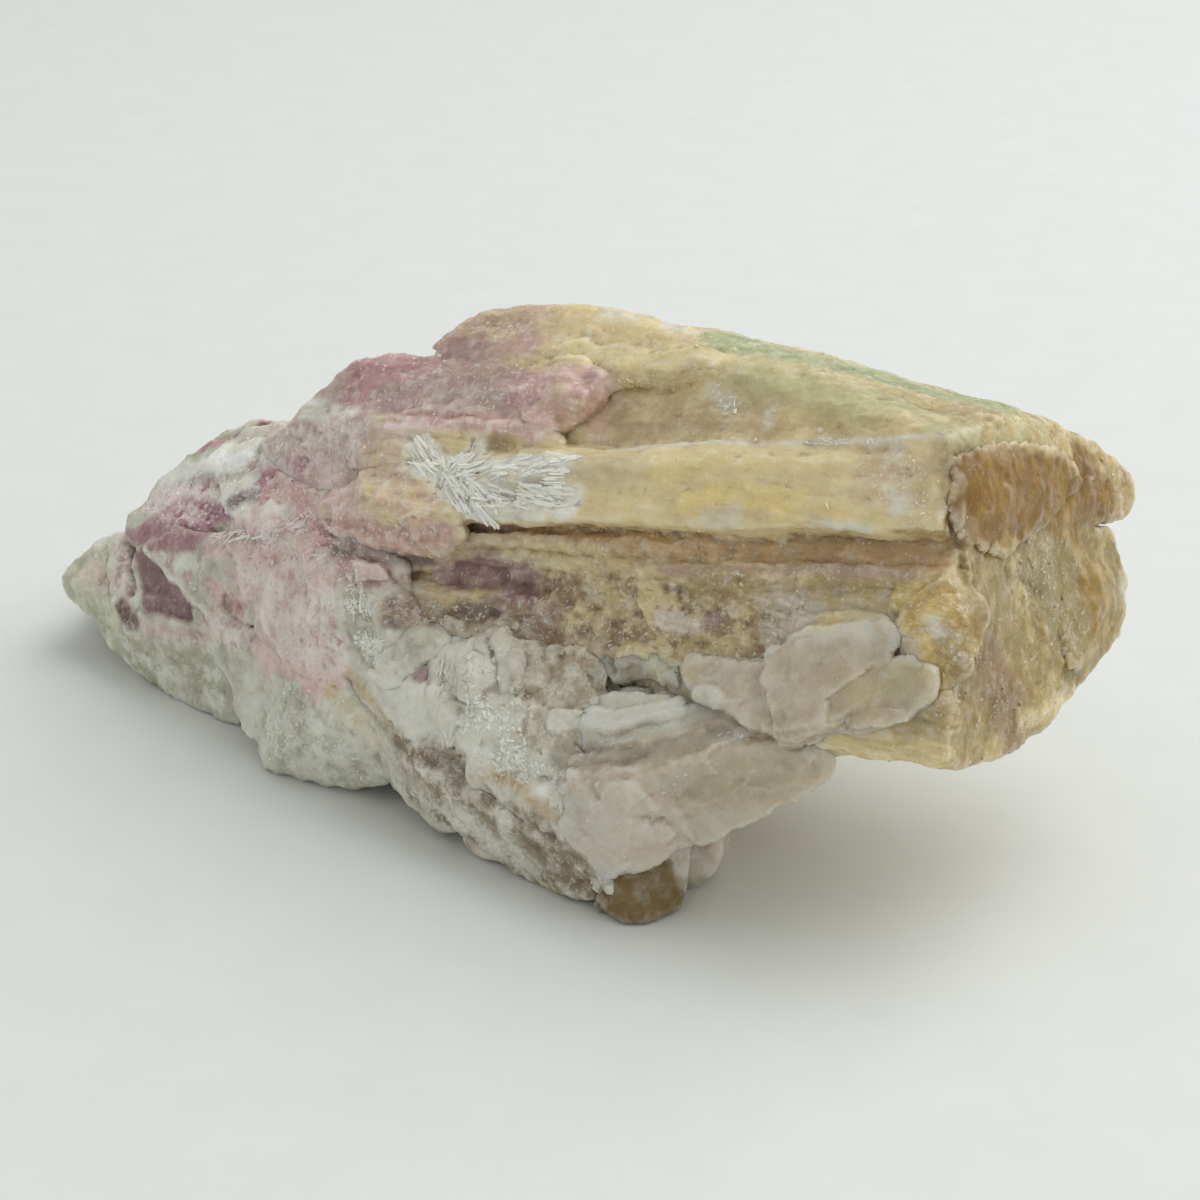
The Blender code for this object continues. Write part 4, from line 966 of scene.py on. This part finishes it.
FEATHERS = [
    bed("-18,14.6 -15,11.8 -11.6,9.6", 1.8, 300, (0.8, 3.4), "cool_white", 0.95, (0.62, -0.78), 0.07, 0.05),
    bed("-15.6,12.2 -12.4,15", 1, 120, (0.8, 3), "cool_white", 0.95, (0.6, 0.8), 0.07, 0.05),
    bed("-13,13 -3.6,13.2", 1.5, 200, (0.8, 3.2), "cool_white", 0.95, (1, -0.05), 0.08, 0.05),
    bed("-11,10.2 -3.6,10.4", 1.6, 210, (0.8, 3.2), "cool_white", 0.95, (1, -0.2), 0.08, 0.05),
    bed("-22,-4.4 -17,-6.2", 1.1, 110, (0.8, 2.4), "white", 0.7, (0.8, 0.4), 0.14, 0.12),
    bed("-24,0 -22.6,-5", 1.6, 80, (0.8, 2.2), "green_white", 0.6, (0.3, -1), 0.2, 0.2),
    bed("-15,-6.5 -15,-13", 1.4, 120, (0.8, 2.2), "milk", 0.7, (0.1, 1), 0.2, 0.2),
    bed("-38,6.2 -30,7.2", 0.9, 110, (0.8, 2.4), "pale_rose", 0.7, (1, 0.25), 0.15, 0.15),
    bed("-34,5 -28,3", 2.2, 110, (0.6, 2), "pale_rose", 0.6, (0.9, 0.3), 0.3, 0.2),
]
GRAINS = [
    bed("", 0, 1100, (0.2, 1.1), "white", 0.35),
    bed("-24.4,1 -22.6,-5", 1.9, 340, (0.25, 0.9), "white", 0.7, lean=0.8),
    bed("-12,-11.5 -9,-15.5", 3.2, 600, (0.3, 1.1), "white", 0.6, lean=0.8),
    bed("-12.5,-7.6 -9.5,-9.5", 2.6, 110, (0.5, 1.6), "milk", 0.6, lean=0.5),
    bed("-9.5,-17.2 2,-17.6", 1.1, 340, (0.2, 0.8), "white", 0.7, lean=0.8),
    bed("-20,-0.6 -13,-2.6 -6,-4", 1.8, 260, (0.2, 0.8), "milk", 0.5, spread=0.6),
    bed("-33,4 -29,-3 -28,-8", 5.2, 900, (0.2, 0.75), "pale_rose", 0.45, lean=0.5),
    bed("-44,9.5 -34,10.8 -27,12", 2.8, 620, (0.2, 0.9), "pale_rose", 0.5, spread=0.8),
    bed("-40,12 -32,14", 2.6, 160, (0.2, 0.8), "white", 0.6, spread=0.8),
    bed("-32,-12 -26,-16", 4, 340, (0.25, 0.9), "green_white", 0.5),
    bed("-20,-16 -10,-25 -4,-28.5", 2.2, 380, (0.25, 1), "milk", 0.5, run=(0.84, -0.54), spread=0.6),
    bed("-30.4,13 -29,8 -26.4,5.6", 1.3, 200, (0.2, 0.8), "rose", 0.4, spread=0.8, lean=0.6),
    bed("-27,7.5 -25,3.6", 1.6, 120, (0.2, 0.8), "milk", 0.5, spread=0.8),
    bed("-45.2,4.8 -41,1.6 -36.2,-2.8", 0.4, 130, (0.15, 0.6), "white", 0.7, run=(0.75, -0.6), spread=0.4, lean=0.6),
    bed("-24.2,-7.4 -20.6,-12.2 -14.8,-15.8 -8,-18.6", 0.5, 160, (0.2, 0.8), "peach", 0.6, run=(0.7, -0.7), spread=0.3,
        lean=0.5),
]
CHIPS = [
    bed("4,15.2 14,15.7 26,15.8 34,16.2", 0.35, 420, (0.15, 0.6), "white", 0.65, spread=0.3, lean=0.6),
    bed("-14,8 0,7.2 16,6.8 34,6.3", 0.4, 360, (0.15, 0.6), "peach", 0.5, spread=0.3, lean=0.6),
    bed("0.6,21.9 7,21.5 9,21.9 12.3,24.1", 0.5, 200, (0.15, 0.7), "straw", 0.5, spread=0.6, lean=0.6),
    bed("-24,20.5 -8,20.2", 3, 260, (0.12, 0.42), "white", 0.5, spread=0.6),
    bed("-3,26.5 16,24", 4, 260, (0.12, 0.42), "white", 0.5, spread=0.6),
    bed("3,18.5 32,17.5", 3.2, 140, (0.12, 0.4), "white", 0.45, spread=0.6),
    bed("11.6,20.6 13.2,19.4", 1.1, 60, (0.3, 1.2), "white", 0.7, spread=0.6, lean=0.4),
    bed("-2,11.5 33,11", 4.4, 300, (0.12, 0.45), "white", 0.45, spread=0.6),
    bed("30.5,15 33,11.5 32,8.6", 1.5, 90, (0.2, 0.7), "white", 0.4, spread=0.6, lean=0.6),
    bed("-5,-2 8,-3 19,-3.4", 4.2, 700, (0.2, 0.9), "milk", 0.4, spread=0.5, lean=0.6),
    bed("-20,-0.5 -13,-1.6", 1.8, 260, (0.15, 0.7), "white", 0.6, spread=0.6),
    bed("38,10 47,9", 6, 160, (0.15, 0.5), "straw", 0.35),
    bed("43,3 46,-2", 4.6, 340, (0.2, 0.8), "white", 0.4),
    bed("31,0 37,-3", 2.8, 110, (0.2, 0.7), "milk", 0.3),
    bed("37,-6 41,-12", 3.6, 240, (0.2, 0.8), "milk", 0.35),
    bed("26,-15.2 33,-16.4 39,-15.2", 1.6, 160, (0.2, 0.7), "straw", 0.4),
    bed("-28,15.5 -22,14", 1.5, 140, (0.15, 0.7), "white", 0.5),
    bed("10,26.4 26,23.6 42,19.2", 0.9, 240, (0.12, 0.5), "pale_green", 0.5, spread=0.6),
]
GLINTS = [
    bed("-3,-13.5 3,-15", 2.4, 90, (0.15, 0.5), "white", 0.3, (1, 0.3), 0.3, 0.25),
    bed("6.5,-18.6 14,-13.6", 1.2, 180, (0.15, 0.6), "white", 0.4, (0.9, 0.5), 0.2, 0.25),
    bed("19,-5 28,-11", 4, 60, (0.12, 0.4), "white", 0.3, (0.9, 0.3), 0.3, 0.25),
    bed("-3,-20 1,-24", 2.6, 140, (0.15, 0.6), "white", 0.35, (0.9, 0.3), 0.3, 0.25),
]


# ---------------------------------------------------------------- materials

# Tints laid over or multiplied into each mineral's colour.
CLOUD_DARK = (0.84, 0.81, 0.76, 1)
CLOUD_LIGHT = (1.07, 1.07, 1.07, 1)
BLOOM = (0.84, 0.83, 0.78, 1)
DEEP = (0.84, 0.78, 0.70, 1)
GROWTH_LINE = (0.80, 0.76, 0.70, 1)
# painted shade, laid into the hollows
CREVICE_SHADE = (0.52, 0.44, 0.38, 1)
BRUISED = (0.90, 0.88, 0.80, 1)
CRUSHED = (0.90, 0.90, 0.86, 1)
CLEAR_TINT = (0.86, 0.82, 0.72, 1)
CLEAR_DENSITY = 18.0
IOR = 1.54
FACET_SIZE = 0.8      # mm, of the facets of differing gloss
GLOSS_RANGE = (-0.14, 0.16)
BUMP_DEPTH = 0.25     # mm


class Graph:
    """A material and its nodes. Every value may be a number, a colour or the output of another node."""

    def __init__(self, name):
        self.material = bpy.data.materials.new(name)
        self.material.use_nodes = True
        self.tree = self.material.node_tree
        self.tree.nodes.clear()
        self.where = self.add("ShaderNodeTexCoord").outputs["Object"]

    def add(self, kind, inputs=None, **settings):
        node = self.tree.nodes.new(kind)
        for key, value in settings.items():
            setattr(node, key, value)
        for key, value in (inputs or {}).items():
            if isinstance(value, bpy.types.NodeSocket):
                self.tree.links.new(value, node.inputs[key])
            else:
                node.inputs[key].default_value = value
        return node

    def attribute(self, name, output="Fac"):
        return self.add("ShaderNodeAttribute", attribute_name=name).outputs[output]

    def noise(self, size_mm, detail, rough, where=None):
        return self.add("ShaderNodeTexNoise", {
            "Vector": where or self.where, "Scale": METRE / size_mm, "Detail": detail, "Roughness": rough,
        }).outputs["Fac"]

    def ramp(self, value, low, high, start=0.0, end=1.0):
        return self.add("ShaderNodeMapRange", {
            "Value": value, "From Min": low, "From Max": high, "To Min": start, "To Max": end,
        }, interpolation_type="SMOOTHSTEP").outputs["Result"]

    def plus(self, a, b):
        return self.add("ShaderNodeMath", {0: a, 1: b}, operation="ADD").outputs[0]

    def times(self, a, b):
        return self.add("ShaderNodeMath", {0: a, 1: b}, operation="MULTIPLY").outputs[0]

    def mix(self, share, a, b, how="MIX"):
        return self.add("ShaderNodeMix", {0: share, 6: a, 7: b}, data_type="RGBA", blend_type=how).outputs[2]

    def stained(self, share, colour, stain):
        """The colour, multiplied by a stain where there is a share of it."""
        return self.mix(share, colour, self.mix(1.0, colour, stain, "MULTIPLY"))


def stone_material(name, roughness, bump, glow, depth, transmission=0.0, streak=0.0, dust=1.0, mottled=1.0, crevice_shade=0.75):
    """glow: the share of light that scatters inside the mineral; depth: how far in, in mm. The last argument sets how
    far the hollows are darkened: painted shade.
    """
    g = Graph(name)
    tint, second = g.attribute("tint", "Color"), g.attribute("second", "Color")
    wear, dusty = g.attribute("wear"), g.attribute("dust")
    # the second colour breaks through the first in torn patches
    torn = g.plus(g.noise(2.6, 5.0, 0.72), g.times(g.attribute("share"), 0.5))
    colour = g.mix(g.ramp(torn, 0.62, 0.80, 0.0, 0.5 + 0.5 * mottled), tint, second)
    # cloudy change of tone
    cloud = g.ramp(g.noise(5.0, 3.0, 0.65), 0.3, 0.7)
    colour = g.mix(cloud, g.mix(mottled, colour, CLOUD_DARK, "MULTIPLY"),
                   g.mix(mottled, colour, CLOUD_LIGHT, "MULTIPLY"))
    # a thin chalky bloom
    bloom = g.times(g.ramp(g.noise(1.4, 3.0, 0.75), 0.50, 0.66), dusty)
    colour = g.mix(g.times(bloom, 0.42), colour, BLOOM)
    # deeper, clearer places in the mineral
    depths = g.ramp(g.noise(9.0, 3.0, 0.6), 0.55, 0.75)
    colour = g.stained(g.times(depths, 0.5 * mottled), colour, DEEP)
    # growth lines, drawn out along the crystal
    if streak:
        drawn_out = g.add("ShaderNodeMapping", {
            "Vector": g.where, "Rotation": (0, 0.2, 0), "Scale": (0.05, 1.0, 1.0),
        }).outputs["Vector"]
        lines = g.times(g.ramp(g.noise(0.8, 3.0, 0.7, drawn_out), 0.38, 0.62), g.attribute("lines"))
        colour = g.stained(g.times(lines, streak), colour, GROWTH_LINE)
    # hollows are darkened towards brown, as painted shade; edges are bruised pale
    colour = g.stained(g.times(g.ramp(wear, -0.15, -0.9), crevice_shade), colour, CREVICE_SHADE)
    edge = g.times(g.ramp(wear, 0.1, 0.8), 0.45)
    colour = g.mix(edge, colour, g.mix(0.45, colour, BRUISED))
    # white dust and crushed grains
    grains = g.ramp(g.noise(0.42, 2.0, 0.6), 0.60, 0.68)
    patches = g.ramp(g.noise(3.0, 3.0, 0.65), 0.40, 0.60)
    flecks = g.times(g.times(grains, patches), dusty)
    colour = g.mix(g.times(flecks, 0.85 * dust), colour, CRUSHED)
    # facets of differing gloss
    facet = g.add("ShaderNodeTexVoronoi", {"Vector": g.where, "Scale": METRE / FACET_SIZE})
    gloss = g.add("ShaderNodeSeparateColor", {0: facet.outputs["Color"]}).outputs[0]
    height = g.plus(g.noise(0.55, 3.0, 0.65), g.times(facet.outputs["Distance"], 0.35))
    relief = g.add("ShaderNodeBump", {"Strength": bump, "Distance": BUMP_DEPTH * MM, "Height": height})
    shader = g.add("ShaderNodeBsdfPrincipled", {
        "Base Color": colour,
        "Roughness": g.ramp(gloss, 0.0, 1.0, roughness + GLOSS_RANGE[0], roughness + GLOSS_RANGE[1]),
        "IOR": IOR,
        "Normal": relief.outputs["Normal"],
        "Subsurface Weight": glow,
        "Subsurface Radius": (1.0, 0.85, 0.65),
        "Subsurface Scale": depth * MM,
        "Transmission Weight": transmission,
        "Specular IOR Level": 0.5,
    })
    surfaces = {"Surface": shader.outputs[0]}
    if transmission:
        haze = g.add("ShaderNodeVolumeAbsorption", {"Color": CLEAR_TINT, "Density": CLEAR_DENSITY})
        surfaces["Volume"] = haze.outputs[0]
    g.add("ShaderNodeOutputMaterial", surfaces)
    return g.material


# ---------------------------------------------------------------- stage

LENS = 85                     # mm, on a sensor of SENSOR mm
SENSOR = 36
FLOOR_REACH = 1.6             # m, from the middle to each side
FLOOR_TONES = ((0.755, 0.77, 0.75, 1), (0.77, 0.785, 0.765, 1))
SKY = (0.95, 0.975, 0.96, 1)
SKY_POWER = 0.57
LIT_POINT = (0, 0, 0.02)      # m, what both softboxes face


def aimed(thing, place, direction):
    """Sets an object at a place, facing one way."""
    thing.location = place
    thing.rotation_mode = "QUATERNION"
    thing.rotation_quaternion = Vector(direction).to_track_quat("-Z", "Y")


def look_from():
    camera = placed("camera", bpy.data.cameras.new("camera"))
    camera.data.lens = LENS
    camera.data.sensor_width = SENSOR
    camera.data.clip_start = 0.01
    camera.data.clip_end = 20
    aimed(camera, (PLANE_CENTRE - SIGHT_AWAY * SIGHT_DISTANCE) * MM, SIGHT_AWAY)
    bpy.context.scene.camera = camera


def softbox(name, place, size, power):
    light = placed(name, bpy.data.lights.new(name, "AREA"))
    light.data.shape = "SQUARE"
    light.data.size = size
    light.data.energy = power
    aimed(light, place, Vector(LIT_POINT) - Vector(place))


def studio():
    g = Graph("pale_floor")
    tone = g.ramp(g.noise(9.0, 2.0, 0.6), 0.3, 0.7)
    sheen = g.ramp(g.noise(6.0, 2.0, 0.6), 0.3, 0.7, 0.5, 0.65)
    shader = g.add("ShaderNodeBsdfPrincipled", {
        "Base Color": g.mix(tone, *FLOOR_TONES), "Roughness": sheen, "Specular IOR Level": 0.25,
    })
    g.add("ShaderNodeOutputMaterial", {"Surface": shader.outputs[0]})
    mesh = bpy.data.meshes.new("floor")
    corners = [(x * FLOOR_REACH, y * FLOOR_REACH, 0) for x, y in ((-1, -1), (1, -1), (1, 1), (-1, 1))]
    mesh.from_pydata(corners, [], [(0, 1, 2, 3)])
    mesh.materials.append(g.material)
    floor = placed("floor", mesh)
    world = bpy.data.worlds.new("studio")
    world.use_nodes = True
    background = world.node_tree.nodes["Background"]
    background.inputs[0].default_value = SKY
    background.inputs[1].default_value = SKY_POWER
    bpy.context.scene.world = world
    softbox("top_softbox", (0.37, 0.40, 0.75), 1.05, 6.6)
    softbox("side_softbox", (0.80, -0.25, 0.35), 0.6, 0.25)
    bpy.context.scene.view_settings.view_transform = "Standard"


# ---------------------------------------------------------------- build

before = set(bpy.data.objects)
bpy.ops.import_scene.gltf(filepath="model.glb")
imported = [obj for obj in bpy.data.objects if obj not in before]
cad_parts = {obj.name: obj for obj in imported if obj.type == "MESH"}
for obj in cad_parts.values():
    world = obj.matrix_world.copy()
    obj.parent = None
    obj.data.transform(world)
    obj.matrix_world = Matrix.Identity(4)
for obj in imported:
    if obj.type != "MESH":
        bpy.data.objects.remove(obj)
cad_low, cad_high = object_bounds()
box = (np.array(cad_low) / MM, np.array(cad_high) / MM)
STONE = cad_tree(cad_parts.values())
SKIN, SKIN_SHIFT = softened([node for _, node in sorted(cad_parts.items())])

MATERIALS = {
    "rubellite_crystal": stone_material("tourmaline", 0.36, 0.35, 0.7, 2.2, streak=0.6, mottled=0.5),
    "quartz_matrix": stone_material("quartz_and_albite", 0.42, 0.8, 0.4, 1.2),
    "glassy_quartz": stone_material("glassy_quartz", 0.24, 0.4, 0.9, 3.5, transmission=0.12, dust=0.6, mottled=0.35,
                                    crevice_shade=0.35),
    "foot_crystal": stone_material("smoky_foot", 0.32, 0.4, 0.3, 1.2, transmission=0.2, dust=0.3, mottled=0.4),
}
HOSTS = {}
for name, node in sorted(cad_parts.items()):
    others = cad_tree([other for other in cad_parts.values() if other != node])
    piece, HOSTS[name] = dress(node, others, box)
    piece.data.materials.clear()
    piece.data.materials.append(MATERIALS[name])

stone = {k: np.concatenate([HOSTS["quartz_matrix"][k], HOSTS["rubellite_crystal"][k]])
         for k in ("p", "n", "tint", "fray")}
CRYSTAL = stone_material("small_crystals", 0.34, 0.15, 0.0, 0.8, dust=0.3, mottled=0.2, crevice_shade=0.2)
for name, slot, host, sort, beds, seed in (
    ("white_blades", "matrix", stone, "lath", FEATHERS, 11),
    ("matrix_grains", "matrix", stone, (10, 0.7, 1.2), GRAINS, 12),
    ("crystal_chips", "rubellite", stone, (9, 0.5, 1.5), CHIPS, 13),
    ("quartz_flakes", "glassy_quartz", HOSTS["glassy_quartz"], (9, 0.35, 1.8), GLINTS, 14),
):
    piece = scatter(name, host, sort, beds, seed, box)
    piece.data.materials.append(CRYSTAL)

look_from()
studio()
